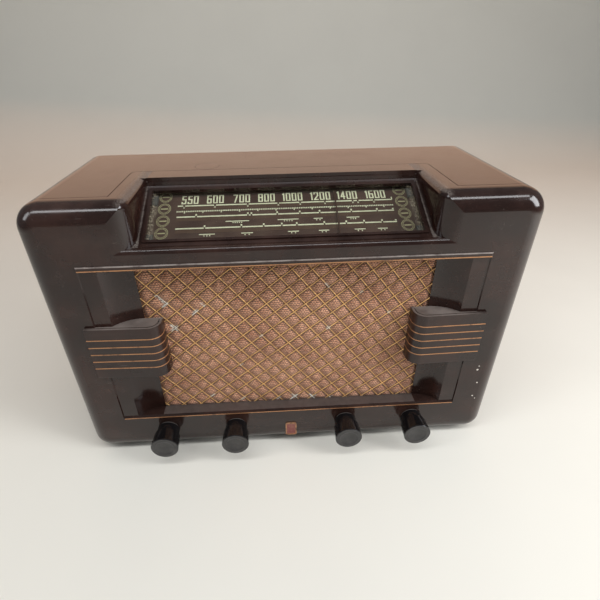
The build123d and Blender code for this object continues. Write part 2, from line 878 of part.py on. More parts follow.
with BuildPart() as pulley_plate:
    with BuildSketch(facing(plate_front + sheet)):
        with BuildLine():
            Polyline(
                (left_pulley[0] - 9, lower_run - 2),
                (left_pulley[0] - 9, rail_z + 2.5),
                (right_pulley[0] + 4, rail_z + 2.5),
                (right_pulley[0] + 4, lower_run - 2),
                (turn_pulley[0] + 9, lower_run - 2),
                (turn_pulley[0] + 9, turn_pulley[1] - 9),
                (turn_pulley[0] - 9, turn_pulley[1] - 9),
                (turn_pulley[0] - 9, lower_run - 2),
                close=True,
            )
        make_face()
    extrude(amount=sheet)
    with BuildSketch(facing(plate_front)):
        with Locations(left_pulley, right_pulley, turn_pulley):
            Circle(1.5)
    extrude(amount=pulley_width + 3.0)
save(pulley_plate.part, "pulley_plate")

for label, (pulley_x, pulley_z) in (
    ("left_pulley", left_pulley),
    ("right_pulley", right_pulley),
    ("turn_pulley", turn_pulley),
):
    with BuildPart() as pulley:
        with BuildSketch(upright(pulley_x)):
            with BuildLine():
                half = pulley_width / 2
                groove_floor = pulley_z + pulley_radius - cord_radius - 0.1
                Polyline(
                    (rail_y - half, pulley_z + pulley_bore),
                    (rail_y - half, pulley_z + pulley_radius + pulley_flange),
                    (rail_y - half + 0.8, pulley_z + pulley_radius + pulley_flange),
                    (rail_y - 0.7, groove_floor),
                    (rail_y + 0.7, groove_floor),
                    (rail_y + half - 0.8, pulley_z + pulley_radius + pulley_flange),
                    (rail_y + half, pulley_z + pulley_radius + pulley_flange),
                    (rail_y + half, pulley_z + pulley_bore),
                    close=True,
                )
            make_face()
        revolve(axis=across(pulley_x, pulley_z))
    save(pulley.part, label)

rail_end = pointer_travel / 2 + 10.0
with BuildPart() as pointer_rail:
    with BuildSketch(upright(-rail_end)):
        with Locations((rail_y, rail_z)):
            Circle(rail_radius)
    extrude(amount=2 * rail_end)
    with BuildSketch(upright(-rail_end)):
        with Locations(((rail_y + plate_front) / 2, rail_z)):
            Rectangle(plate_front - rail_y, 2)
    extrude(amount=2)
    with BuildSketch(upright(rail_end - 2)):
        with Locations(((rail_y + plate_front) / 2, rail_z)):
            Rectangle(plate_front - rail_y, 2)
    extrude(amount=2)
save(pointer_rail.part, "pointer_rail")

carriage_half = 5.0
pointer_sink = (glass_sink + layer_gap + glass_thickness + plate_sink) / 2
needle_low = window_low + 3.0
carriage_reach = 1.6
needle_high = 1.0 + (pointer_cord_depth - carriage_reach - sill_flat - pointer_sink * math.sin(tilt)) / math.cos(tilt)
with BuildPart() as dial_pointer:
    with BuildSketch(dial_plane(-pointer_sink - pointer_thickness / 2)):
        with Locations((pointer_rest_x, (needle_low + needle_high) / 2)):
            Rectangle(pointer_width, needle_high - needle_low)
    extrude(amount=pointer_thickness)
    with BuildSketch(upright(pointer_rest_x - carriage_half)):
        with Locations((rail_y, rail_z + 0.1)):
            Rectangle(2 * carriage_reach, 5.6)
        with Locations((rail_y, rail_z)):
            Circle(rail_radius + shaft_clearance, mode=Mode.SUBTRACT)
    extrude(amount=2 * carriage_half)
save(dial_pointer.part, "dial_pointer")


def cord_loop(y, arcs_and_lines):
    """Thin closed loop of cord in an upright plane: sweeps the cord's section along the given edges."""
    with BuildPart() as loop:
        with BuildLine(facing(y)) as path:
            arcs_and_lines()
        start = path.edges()[0] @ 0
        with BuildSketch(Plane(origin=start, z_dir=path.edges()[0] % 0)):
            Circle(cord_radius)
        sweep(path=path.wires()[0])
    return loop


gang_z = height(gang_height)


def pointer_loop():
    """Path of the pointer cord: round the drum, up over the pulleys and along both runs."""
    left_x = gang_x - drum_radius
    right_x = gang_x + drum_radius
    Line((left_x, gang_z), (left_x, turn_pulley[1]))
    CenterArc(turn_pulley, pulley_radius, 0, 90)
    Line((turn_pulley[0], lower_run), (left_pulley[0], lower_run))
    CenterArc(left_pulley, pulley_radius, 270, -180)
    Line((left_pulley[0], upper_run), (right_pulley[0], upper_run))
    CenterArc(right_pulley, pulley_radius, 90, -90)
    Line((right_x, right_pulley[1]), (right_x, gang_z))
    CenterArc((gang_x, gang_z), drum_radius, 0, -180)


dial_cord = cord_loop(depth(pointer_cord_depth), pointer_loop)
save(dial_cord.part, "dial_cord")

spindle_z = height(knob_height)
centre_gap = math.hypot(outer_knob_x - gang_x, gang_z - spindle_z)
centre_angle = math.degrees(math.atan2(gang_z - spindle_z, gang_x - outer_knob_x))
wrap = math.degrees(math.acos((drum_radius - spindle_wheel_radius) / centre_gap))


def rim(centre, radius, angle):
    """Point on a circle at this angle."""
    turn = math.radians(angle)
    return (centre[0] + radius * math.cos(turn), centre[1] + radius * math.sin(turn))


def drive_loop():
    """Path of the drive cord: an open loop round the spindle wheel and the drum."""
    drum_centre = (gang_x, gang_z)
    wheel_centre = (outer_knob_x, spindle_z)
    one_side = centre_angle + 180 - wrap
    other_side = centre_angle - 180 + wrap
    Line(rim(wheel_centre, spindle_wheel_radius, one_side), rim(drum_centre, drum_radius, one_side))
    CenterArc(drum_centre, drum_radius, one_side, -2 * (180 - wrap))
    Line(rim(drum_centre, drum_radius, other_side), rim(wheel_centre, spindle_wheel_radius, other_side))
    CenterArc(wheel_centre, spindle_wheel_radius, other_side, -2 * wrap)


drive_cord = cord_loop(depth(drive_cord_depth), drive_loop)
save(drive_cord.part, "drive_cord")

# ---------------------------------------------------------------- tuning drum and gang
drum_front = depth((pointer_cord_depth + drive_cord_depth) / 2) - drum_width / 2
drum_rear = drum_front + drum_width
groove_floor = drum_radius - cord_radius - 0.1
drum_lip = drum_radius + drum_flange
gang_axis = across(gang_x, gang_z)
with BuildPart() as dial_drum:
    with BuildSketch(upright(gang_x)):
        with BuildLine():
            cord_lines = (depth(pointer_cord_depth), depth(drive_cord_depth))
            rim_points = [(drum_front, gang_z + drum_lip - 8), (drum_front, gang_z + drum_lip)]
            for groove_y in cord_lines:
                rim_points += [
                    (groove_y - 1.2, gang_z + drum_lip),
                    (groove_y - 0.7, gang_z + groove_floor),
                    (groove_y + 0.7, gang_z + groove_floor),
                    (groove_y + 1.2, gang_z + drum_lip),
                ]
            rim_points += [
                (drum_rear, gang_z + drum_lip),
                (drum_rear, gang_z + drum_lip - 8),
                (drum_rear - 2.5, gang_z + drum_lip - 8),
                (drum_rear - 2.5, gang_z + 10),
                (drum_rear, gang_z + 10),
                (drum_rear, gang_z + shaft_radius),
                (drum_front, gang_z + shaft_radius),
                (drum_front, gang_z + 10),
                (drum_front + 2.5, gang_z + 10),
                (drum_front + 2.5, gang_z + drum_lip - 8),
            ]
            Polyline(*rim_points, close=True)
        make_face()
    revolve(axis=gang_axis)
    with BuildSketch(facing(drum_rear + 1)):
        with Locations((gang_x, gang_z)):
            with PolarLocations(33, 6):
                Circle(10)
    extrude(amount=drum_width + 2, mode=Mode.SUBTRACT)
save(dial_drum.part, "dial_drum")

gang_half = 24.0
gang_front = depth(chassis_front + 4)
gang_rear = depth(chassis_front + 60)
plate_pitch = 2.4
plate_gauge = 0.6
rotor_plates = 6
rotor_radius = 18.0
stator_inner = 5.5
stator_outer = 22.0
section_starts = (gang_front + 7.0, gang_front + 32.0)
tuning_max = math.degrees((pointer_travel / 2 - pointer_rest_x) / drum_radius)

with BuildPart() as gang_frame:
    with BuildSketch(level(height(deck_height))):
        with Locations((gang_x, (gang_front + gang_rear) / 2)):
            Rectangle(2 * gang_half, gang_rear - gang_front)
    extrude(amount=1.5)
    for end_y in (gang_front + 1.5, gang_rear):
        with BuildSketch(facing(end_y)):
            with Locations((gang_x, height(deck_height) + (gang_height - deck_height + gang_half) / 2)):
                Rectangle(2 * gang_half, gang_height - deck_height + gang_half)
            with Locations((gang_x, gang_z)):
                Circle(shaft_radius + shaft_clearance, mode=Mode.SUBTRACT)
        extrude(amount=1.5)
save(gang_frame.part, "gang_frame")

with BuildPart() as gang_rotor:
    with BuildSketch(facing(gang_rear + 3)):
        with Locations((gang_x, gang_z)):
            Circle(shaft_radius)
    extrude(amount=gang_rear + 3 - drum_front)
    for section_start in section_starts:
        for index in range(rotor_plates):
            plate_y = section_start + (index + 0.5) * plate_pitch
            with BuildSketch(facing(plate_y + plate_gauge)):
                with BuildLine():
                    CenterArc((gang_x, gang_z), rotor_radius, tuning_max - 90, 180)
                    Line(
                        rim((gang_x, gang_z), rotor_radius, tuning_max + 90),
                        rim((gang_x, gang_z), rotor_radius, tuning_max - 90),
                    )
                make_face()
            extrude(amount=plate_gauge)
save(gang_rotor.part, "gang_rotor")

with BuildPart() as gang_stators:
    for section_start in section_starts:
        for index in range(rotor_plates + 1):
            plate_y = section_start + index * plate_pitch
            with BuildSketch(facing(plate_y + plate_gauge)):
                with Locations((gang_x, gang_z)):
                    Circle(stator_outer)
                    Circle(stator_inner, mode=Mode.SUBTRACT)
                with Locations((gang_x + stator_outer, gang_z)):
                    Rectangle(2 * stator_outer + 2 * shaft_radius, 3 * stator_outer, mode=Mode.SUBTRACT)
            extrude(amount=plate_gauge)
        with BuildSketch(facing(section_start + rotor_plates * plate_pitch + plate_gauge)):
            with Locations((gang_x - stator_outer + 1.5, gang_z)):
                Rectangle(2, 12)
        extrude(amount=rotor_plates * plate_pitch + plate_gauge)
save(gang_stators.part, "gang_stators")

# ---------------------------------------------------------------- chassis
control_bush_radius = 5.0
valve_places = [(-100, 147), (-55, 145), (-10, 145), (35, 145), (80, 145)]
can_places = [(-76, 111), (58, 111)]
electrolytic_place = (-112, 112)
with BuildPart() as chassis:
    with BuildSketch(level(height(wall))):
        with Locations((0, depth((chassis_front + chassis_rear) / 2))):
            Rectangle(2 * chassis_half_width, chassis_rear - chassis_front)
    extrude(amount=deck_height - wall)
    with BuildSketch(level(height(wall + sheet))):
        with Locations((0, depth((chassis_front + chassis_rear) / 2))):
            Rectangle(2 * (chassis_half_width - sheet), chassis_rear - chassis_front - 2 * sheet)
    extrude(amount=deck_height - wall - 2 * sheet, mode=Mode.SUBTRACT)
    with BuildSketch(level(height(wall - 1))):
        with Locations((0, depth((chassis_front + chassis_rear) / 2))):
            Rectangle(2 * (chassis_half_width - 15), chassis_rear - chassis_front - 44)
    extrude(amount=sheet + 2, mode=Mode.SUBTRACT)
    with BuildSketch(level(height(wall - 1))):
        with Locations(*chassis_bolts):
            Circle(2.6)
    extrude(amount=sheet + 2, mode=Mode.SUBTRACT)
    with BuildSketch(facing(depth(chassis_front + sheet) + 1)):
        with Locations(*knob_places):
            Circle(control_bush_radius)
    extrude(amount=sheet + 2, mode=Mode.SUBTRACT)
    with BuildSketch(level(height(deck_height) + 1)):
        with Locations(*[(x, depth(d)) for x, d in valve_places]):
            Circle(11)
    extrude(amount=-sheet - 2, mode=Mode.SUBTRACT)
save(chassis.part, "chassis")

with BuildPart() as chassis_bolt_set:
    with BuildSketch(level(height(-2.4))):
        with Locations(*chassis_bolts):
            Circle(4.5)
    extrude(amount=2.4)
    with BuildSketch(level(height(0))):
        with Locations(*chassis_bolts):
            Circle(2.5)
    extrude(amount=wall + sheet)
    with BuildSketch(level(height(wall + sheet))):
        with Locations(*chassis_bolts):
            RegularPolygon(4.6, 6)
    extrude(amount=3)
save(chassis_bolt_set.part, "chassis_bolts")

# ---------------------------------------------------------------- controls behind the knobs
shaft_front = front_y - knob_reach + 8.0
bush_length = 4.0
control_depth = 14.0
for label, control_x, control_radius in (
    ("tone_control", -outer_knob_x, 13.0),
    ("volume_control", -inner_knob_x, 13.0),
    ("band_switch", inner_knob_x, 16.0),
    ("spindle_bearing", outer_knob_x, 8.0),
):
    body_length = 4.0 if label == "spindle_bearing" else control_depth
    with BuildPart() as control:
        with BuildSketch(facing(depth(chassis_front + sheet) + body_length)):
            with Locations((control_x, height(knob_height))):
                Circle(control_radius)
        extrude(amount=body_length)
        with BuildSketch(facing(depth(chassis_front + sheet))):
            with Locations((control_x, height(knob_height))):
                Circle(control_bush_radius - 0.05)
        extrude(amount=sheet)
        if label != "spindle_bearing":
            with BuildSketch(facing(depth(chassis_front))):
                with Locations((control_x, height(knob_height))):
                    RegularPolygon(7, 6)
            extrude(amount=2.5)
        with BuildSketch(facing(depth(chassis_front + sheet) + body_length - 1)):
            with Locations((control_x, height(knob_height))):
                Circle(shaft_radius + shaft_clearance)
        extrude(amount=body_length + sheet + bush_length, mode=Mode.SUBTRACT)
    save(control.part, label)

knob_back = front_y - knob_gap
knob_face = front_y - knob_reach
knob_z = height(knob_height)
for label, control_x in (
    ("tone", -outer_knob_x),
    ("volume", -inner_knob_x),
    ("band", inner_knob_x),
    ("tuning", outer_knob_x),
):
    with BuildPart() as shaft:
        with BuildSketch(facing(depth(chassis_front + sheet) + 2)):
            with Locations((control_x, knob_z)):
                Circle(shaft_radius)
        extrude(amount=depth(chassis_front + sheet) + 2 - shaft_front)
        if label == "tuning":
            with BuildSketch(facing(depth(drive_cord_depth) + 2)):
                with Locations((control_x, knob_z)):
                    Circle(spindle_wheel_radius - cord_radius - 0.1)
            extrude(amount=4)
    save(shaft.part, f"{label}_shaft")

    with BuildPart() as knob:
        with BuildSketch(upright(control_x)):
            with BuildLine():
                dimple_edge = knob_z + dimple_radius
                body_back = knob_face + knob_body
                rim_z = knob_z + knob_radius - 0.8 - knob_rim_rounding
                rim_end = (body_back - knob_rim_rounding, rim_z + knob_rim_rounding)
                Polyline(
                    (shaft_front, knob_z),
                    (shaft_front, knob_z + shaft_radius),
                    (knob_back, knob_z + shaft_radius),
                    (knob_back, knob_z + knob_hub_radius),
                    (body_back, knob_z + knob_hub_radius),
                    (body_back, rim_z),
                )
                RadiusArc((body_back, rim_z), rim_end, -knob_rim_rounding)
                Polyline(
                    rim_end,
                    (knob_face + 0.7, knob_z + knob_radius),
                    (knob_face, knob_z + knob_radius - 0.7),
                    (knob_face, dimple_edge + 0.6),
                    (knob_face + 0.4, dimple_edge),
                )
                Spline(
                    (knob_face + 0.4, dimple_edge),
                    (knob_face + 0.75 * dimple_sink, knob_z + 0.55 * dimple_radius),
                    (knob_face + dimple_sink, knob_z),
                )
                Line((knob_face + dimple_sink, knob_z), (shaft_front, knob_z))
            make_face()
        revolve(axis=across(control_x, knob_z))
    save(knob.part, f"{label}_knob")

with BuildPart() as felt_washers:
    with BuildSketch(facing(front_y)):
        with Locations(*knob_places):
            Circle(knob_hub_radius - 1)
            Circle(shaft_radius + 0.6, mode=Mode.SUBTRACT)
    extrude(amount=knob_gap - 0.6)
save(felt_washers.part, "felt_washers")

# ---------------------------------------------------------------- valves, cans and transformers
deck_z = height(deck_height)
with BuildPart() as valve_sockets:
    with BuildSketch(level(deck_z - sheet - 6)):
        with Locations(*[(x, depth(d)) for x, d in valve_places]):
            Circle(10.6)
    extrude(amount=6 + sheet + 1.5)
save(valve_sockets.part, "valve_sockets")

socket_top = deck_z + 1.5
base_rise = 16.0
valve_base_radius = 13.0
bulb_neck = 11.0
bulb_shoulder = 14.0
rectifier_bulb = (78.0, 17.0)
small_bulb = (62.0, 14.5)
can_width = 30.0
can_rise = 64.0
can_hole_radius = 3.0
electrolytic_rise = 72.0
with BuildPart() as valve_bases:
    with BuildSketch(level(socket_top)):
        with Locations(*[(x, depth(d)) for x, d in valve_places]):
            Circle(valve_base_radius)
    extrude(amount=base_rise)
    chamfer(valve_bases.faces().group_by(Axis.Z)[-1].edges(), length=1)
save(valve_bases.part, "valve_bases")

foot_z = socket_top + base_rise
with BuildPart() as valve_glasses:
    for number, (valve_x, valve_depth) in enumerate(valve_places):
        bulb_rise, bulb_radius = rectifier_bulb if number == 0 else small_bulb
        with BuildSketch(facing(depth(valve_depth))):
            with BuildLine():
                Line((valve_x, foot_z), (valve_x + bulb_neck, foot_z))
                Spline(
                    (valve_x + bulb_neck, foot_z),
                    (valve_x + bulb_radius, foot_z + bulb_shoulder),
                    (valve_x + bulb_radius, foot_z + 0.55 * bulb_rise),
                    (valve_x + 0.55 * bulb_radius, foot_z + 0.88 * bulb_rise),
                    (valve_x, foot_z + bulb_rise),
                    tangents=((0.6, 1), (-1, 0)),
                )
                Line((valve_x, foot_z + bulb_rise), (valve_x, foot_z))
            make_face()
        revolve(axis=Axis((valve_x, depth(valve_depth), 0), (0, 0, 1)))
save(valve_glasses.part, "valve_glasses")

with BuildPart() as chassis_cans:
    with BuildSketch(level(deck_z)):
        with Locations(*[(x, depth(d)) for x, d in can_places]):
            RectangleRounded(can_width, can_width, 4)
    extrude(amount=can_rise)
    fillet(chassis_cans.faces().group_by(Axis.Z)[-1].edges(), radius=2)
    with BuildSketch(level(deck_z + can_rise + 1)):
        with Locations(*[(x, depth(d)) for x, d in can_places]):
            Circle(can_hole_radius)
    extrude(amount=-3, mode=Mode.SUBTRACT)
    with BuildSketch(level(deck_z)):
        with Locations((electrolytic_place[0], depth(electrolytic_place[1]))):
            Circle(can_width / 2)
    extrude(amount=electrolytic_rise)
    fillet(chassis_cans.faces().sort_by(Axis.Z)[-1].edges(), radius=2.5)
save(chassis_cans.part, "chassis_cans")

core_x = -162.0
core_depth = 132.0
core_width = 66.0
core_stack = 34.0
core_rise = 56.0
with BuildPart() as transformer_core:
    with BuildSketch(facing(depth(core_depth) + core_stack / 2)):
        with Locations((core_x, deck_z + core_rise / 2)):
            Rectangle(core_width, core_rise)
            Rectangle(core_width - 24, core_rise - 24, mode=Mode.SUBTRACT)
    extrude(amount=core_stack)
save(transformer_core.part, "transformer_core")

with BuildPart() as transformer_winding:
    with BuildSketch(facing(depth(core_depth) + core_stack / 2 + 12)):
        with Locations((core_x, deck_z + core_rise / 2)):
            RectangleRounded(core_width - 24.4, core_rise - 24.4, 5)
    extrude(amount=core_stack + 24)
save(transformer_winding.part, "transformer_winding")

# ---------------------------------------------------------------- rear: panel, screws, terminals and inlet
terminal_place = (20.0, height(35))
terminal_width = 70.0
terminal_rise = 18.0
with BuildPart() as terminal_strip:
    with BuildSketch(facing(depth(chassis_rear) + 2)):
        with Locations(terminal_place):
            Rectangle(terminal_width, terminal_rise)
    extrude(amount=2)
save(terminal_strip.part, "terminal_strip")

terminal_screw_places = [(terminal_place[0] + step * 18, terminal_place[1]) for step in (-1.5, -0.5, 0.5, 1.5)]
with BuildPart() as terminal_screws:
    with BuildSketch(facing(depth(chassis_rear) + 5)):
        with Locations(*terminal_screw_places):
            Circle(3.5)
    extrude(amount=3)
    with BuildSketch(facing(depth(chassis_rear) + 5)):
        with Locations(*terminal_screw_places):
            Rectangle(8, 0.9)
    extrude(amount=0.8, mode=Mode.SUBTRACT)
save(terminal_screws.part, "terminal_screws")

panel_rear = depth(panel_depth + panel_thickness)
grommet_radius = 6.5
grommet_bore = 3.5
with BuildPart() as back_panel:
    extrude(front_outline(facing(panel_rear), panel_inset), amount=panel_thickness)
    with BuildSketch(facing(panel_rear + 1)):
        with Locations(*lug_places):
            Circle(2)
        with Locations(grommet_place):
            Circle(grommet_radius)
        with Locations(terminal_place):
            RectangleRounded(terminal_width + 12, terminal_rise + 10, 4)
        with Locations((0, height(190))):
            with GridLocations(15, 15, 17, 6):
                Circle(3.2)
        with Locations((0, height(88))):
            with GridLocations(30, 16, 11, 2):
                SlotOverall(20, 5)
    extrude(amount=panel_thickness + 2, mode=Mode.SUBTRACT)
save(back_panel.part, "back_panel")

screw_head = 2.2
with BuildPart() as fixing_screws:
    with BuildSketch(facing(panel_rear + 2)):
        with Locations(*lug_places):
            Circle(3.6)
    extrude(amount=2)
    with BuildSketch(facing(panel_rear + 2)):
        with Locations(*lug_places):
            Rectangle(8, 0.9)
    extrude(amount=0.9, mode=Mode.SUBTRACT)
    with BuildSketch(facing(panel_rear)):
        with Locations(*lug_places):
            Circle(1.45)
    extrude(amount=panel_thickness + 5)
    with BuildSketch(facing(depth(basket_front) + screw_head)):
        with Locations(*speaker_screw_places):
            Circle(3.4)
    extrude(amount=screw_head)
save(fixing_screws.part, "fixing_screws")

grommet_axis = across(*grommet_place)
with BuildPart() as mains_grommet:
    with BuildSketch(upright(grommet_place[0])):
        with BuildLine():
            low = grommet_place[1]
            Polyline(
                (panel_rear + 2.5, low + grommet_bore),
                (panel_rear + 2.5, low + grommet_radius + 1.5),
                (panel_rear + 1.5, low + grommet_radius + 2.5),
                (panel_rear, low + grommet_radius + 2.5),
                (panel_rear, low + grommet_radius),
                (panel_rear - panel_thickness, low + grommet_radius),
                (panel_rear - panel_thickness, low + grommet_radius + 2.5),
                (panel_rear - panel_thickness - 2, low + grommet_radius + 2),
                (panel_rear - panel_thickness - 2, low + grommet_bore),
                close=True,
            )
        make_face()
    revolve(axis=grommet_axis)
save(mains_grommet.part, "mains_grommet")
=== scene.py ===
"""Looks for the bakelite table radio: finishes, dial printing, quilted grille cloth, studio and camera.

Everything is in metres, in the frame's own axes: +X right, +Y to the rear, +Z up, standing on z = 0.
"""

import json
import logging
import math
from dataclasses import dataclass, field
from enum import Enum
from functools import cached_property
from typing import Callable, Iterable, Optional, Sequence, Union

import bpy
from mathutils import Matrix, Vector

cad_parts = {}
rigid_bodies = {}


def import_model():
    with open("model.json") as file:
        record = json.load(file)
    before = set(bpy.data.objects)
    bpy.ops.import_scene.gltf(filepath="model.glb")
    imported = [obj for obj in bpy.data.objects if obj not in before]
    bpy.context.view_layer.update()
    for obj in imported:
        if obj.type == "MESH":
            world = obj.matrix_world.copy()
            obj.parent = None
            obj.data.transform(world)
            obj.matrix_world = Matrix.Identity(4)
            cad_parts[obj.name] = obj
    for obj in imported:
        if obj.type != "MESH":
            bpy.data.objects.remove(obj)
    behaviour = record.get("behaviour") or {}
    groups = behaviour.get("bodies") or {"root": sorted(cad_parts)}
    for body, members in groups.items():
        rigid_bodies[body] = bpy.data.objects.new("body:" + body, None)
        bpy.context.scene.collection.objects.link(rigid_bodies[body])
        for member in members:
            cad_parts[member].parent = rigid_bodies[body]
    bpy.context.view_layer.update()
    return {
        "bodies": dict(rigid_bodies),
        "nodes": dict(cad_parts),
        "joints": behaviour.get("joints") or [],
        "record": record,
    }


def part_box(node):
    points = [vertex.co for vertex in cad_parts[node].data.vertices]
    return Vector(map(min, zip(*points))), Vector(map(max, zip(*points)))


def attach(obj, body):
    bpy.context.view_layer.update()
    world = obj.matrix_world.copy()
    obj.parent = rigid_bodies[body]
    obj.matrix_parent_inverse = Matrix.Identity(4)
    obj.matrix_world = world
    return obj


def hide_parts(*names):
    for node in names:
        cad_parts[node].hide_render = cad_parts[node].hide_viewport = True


LOG = logging.getLogger("table_radio")
MM = 0.001
Colour = tuple[float, float, float]
Point = tuple[float, float, float]


# ---------------------------------------------------------------- shader maths
class Field:
    """One number, colour, vector or shader on a surface: a socket with Python's operators."""

    def __init__(self, graph: "Graph", socket: bpy.types.NodeSocket) -> None:
        """Wrap a socket.

        Args:
            graph: The graph that the socket belongs to.
            socket: The output socket.
        """
        self.graph = graph
        self.socket = socket

    def __add__(self, other: "Number") -> "Field":
        """Sum."""
        return self.graph.math("ADD", self, other)

    __radd__ = __add__

    def __sub__(self, other: "Number") -> "Field":
        """Difference."""
        return self.graph.math("SUBTRACT", self, other)

    def __rsub__(self, other: "Number") -> "Field":
        """Difference, reflected."""
        return self.graph.math("SUBTRACT", other, self)

    def __mul__(self, other: "Number") -> "Field":
        """Product."""
        return self.graph.math("MULTIPLY", self, other)

    __rmul__ = __mul__

    def __truediv__(self, other: "Number") -> "Field":
        """Quotient."""
        return self.graph.math("DIVIDE", self, other)

    def __rtruediv__(self, other: "Number") -> "Field":
        """Quotient, reflected."""
        return self.graph.math("DIVIDE", other, self)

    def __pow__(self, other: "Number") -> "Field":
        """Power."""
        return self.graph.math("POWER", self, other)

    def __abs__(self) -> "Field":
        """Size without sign."""
        return self.graph.math("ABSOLUTE", self)

    def __and__(self, other: "Number") -> "Field":
        """The smaller of two masks."""
        return self.graph.math("MINIMUM", self, other)

    def __or__(self, other: "Number") -> "Field":
        """The larger of two masks."""
        return self.graph.math("MAXIMUM", self, other)

    __rand__ = __and__
    __ror__ = __or__

    def sin(self) -> "Field":
        """Sine of an angle in radians."""
        return self.graph.math("SINE", self)

    def floor(self) -> "Field":
        """Whole number below."""
        return self.graph.math("FLOOR", self)

    def step(self, low: float, high: float) -> "Field":
        """Smooth rise from 0 at low to 1 at high; low may be above high for a fall.

        Args:
            low: Value that gives 0.
            high: Value that gives 1.

        Returns:
            The mask.
        """
        if low < high:
            return self.graph.node(
                "ShaderNodeMapRange",
                {"interpolation_type": "SMOOTHSTEP"},
                {"Value": self, "From Min": low, "From Max": high},
            )
        return 1 - self.step(high, low)


Number = Union[Field, float, int]
Paint = Union[Field, Colour]


class Graph:
    """A material's node graph, built from expressions."""

    def __init__(self, name: str) -> None:
        """Start an empty material.

        Args:
            name: The material's name.
        """
        self.material = bpy.data.materials.new(name)
        self.material.use_nodes = True
        self.tree = self.material.node_tree
        self.tree.nodes.clear()
        self.place = self.node("ShaderNodeTexCoord", out="Object")
        self.x, self.y, self.z = (
            self.node("ShaderNodeSeparateXYZ", sockets={"Vector": self.place}, out=axis) for axis in "XYZ"
        )

    def node(
        self,
        kind: str,
        settings: Optional[dict[str, object]] = None,
        sockets: Optional[dict[Union[str, int], object]] = None,
        out: Union[str, int] = 0,
    ) -> Field:
        """Add any node.

        Args:
            kind: The node's type.
            settings: Its own settings, set before anything is linked.
            sockets: Values or links for its input sockets, by identifier, name or number.
            out: The output socket wanted.

        Returns:
            The output as a field.
        """
        made = self.tree.nodes.new(kind)
        for key, value in (settings or {}).items():
            setattr(made, key, value)
        for key, value in (sockets or {}).items():
            self._feed(self._find(made.inputs, key), value)
        return Field(self, self._find(made.outputs, out))

    @staticmethod
    def _find(sockets: bpy.types.bpy_prop_collection, key: Union[str, int]) -> bpy.types.NodeSocket:
        """Find a socket by number, identifier or name."""
        if isinstance(key, int):
            return sockets[key]
        for socket in sockets:
            if socket.identifier == key:
                return socket
        return sockets[key]

    def _feed(self, socket: bpy.types.NodeSocket, value: object) -> None:
        """Link a field to a socket, or set its value."""
        if isinstance(value, Field):
            self.tree.links.new(value.socket, socket)
        elif isinstance(value, tuple) and socket.type == "RGBA":
            socket.default_value = (*value[:3], 1.0)
        else:
            socket.default_value = value

    def math(self, operation: str, first: Number, second: Number = 0.0) -> Field:
        """Add a Math node.

        Args:
            operation: Its operation.
            first: First value.
            second: Second value.

        Returns:
            The result.
        """
        return self.node("ShaderNodeMath", {"operation": operation}, {0: first, 1: second})

    def mix(self, mask: Number, below: Paint, above: Paint) -> Field:
        """Lay one colour over another.

        Args:
            mask: How much of the upper colour shows.
            below: Lower colour.
            above: Upper colour.

        Returns:
            The mixed colour.
        """
        return self.node(
            "ShaderNodeMix",
            {"data_type": "RGBA"},
            {"Factor_Float": mask, "A_Color": below, "B_Color": above},
            "Result_Color",
        )

    def blend(self, mask: Number, below: Number, above: Number) -> Field:
        """Blend two numbers by a mask."""
        return below + (above - below) * mask

    def layer(self, mask: Number, below: Field, above: Field) -> Field:
        """Lay one shader over another by a mask."""
        return self.node("ShaderNodeMixShader", sockets={0: mask, 1: below, 2: above})

    def stretched(self, scale: Point, turn: Point = (0.0, 0.0, 0.0)) -> Field:
        """Place on the surface, turned and stretched.

        Args:
            scale: Factor on each axis.
            turn: Rotation in degrees.

        Returns:
            The vector.
        """
        return self.node(
            "ShaderNodeMapping",
            {"vector_type": "POINT"},
            {"Vector": self.place, "Scale": scale, "Rotation": tuple(math.radians(a) for a in turn)},
        )

    def noise(
        self, size: float, detail: float = 2.0, rough: float = 0.5, at: Optional[Field] = None
    ) -> Field:
        """Soft noise from 0 to 1.

        Args:
            size: Size of its patches, in metres.
            detail: Octaves.
            rough: Strength of the finer octaves.
            at: Place to read it at; the surface's own when left out.

        Returns:
            The noise.
        """
        return self.node(
            "ShaderNodeTexNoise",
            sockets={"Vector": at or self.place, "Scale": 1.0 / size, "Detail": detail, "Roughness": rough},
            out="Fac",
        )

    def facing(self, axis: str) -> Field:
        """One part of the surface's normal, in the frame's axes.

        Args:
            axis: "X", "Y" or "Z".

        Returns:
            The part, from -1 to 1.
        """
        normal = self.node("ShaderNodeNewGeometry", out="Normal")
        return self.node("ShaderNodeSeparateXYZ", sockets={"Vector": normal}, out=axis)

    @cached_property
    def up(self) -> Field:
        """How far the surface faces up, from -1 to 1."""
        return self.facing("Z")

    @cached_property
    def front(self) -> Field:
        """How far the surface faces forward, from -1 to 1."""
        return self.facing("Y") * -1.0

    def gloss(self) -> Field:
        """Share of light that a clear pane's outer side reflects; none on its inner side."""
        inner = self.node("ShaderNodeNewGeometry", out="Backfacing")
        return self.node("ShaderNodeFresnel", sockets={"IOR": 1.5}, out="Fac") * (1 - inner)

    def bump(self, height: Field, metres: float, strength: float) -> Field:
        """Bumped normal.

        Args:
            height: Height from 0 to 1.
            metres: What a height of 1 stands for.
            strength: Share of it that shows.

        Returns:
            The normal.
        """
        sockets = {"Height": height, "Distance": metres, "Strength": strength}
        return self.node("ShaderNodeBump", sockets=sockets, out="Normal")

    def blob(
        self, centre: tuple[float, float], radius: float, on: tuple[Field, Field], edge: float
    ) -> Field:
        """Soft round spot on a plane.

        Args:
            centre: Its two coordinates.
            radius: Its radius.
            on: The fields for those coordinates.
            edge: Share of the radius that's solid.

        Returns:
            The mask.
        """
        across = on[0] - centre[0]
        along = on[1] - centre[1]
        away = (across * across + along * along) ** 0.5
        return away.step(radius, radius * edge)

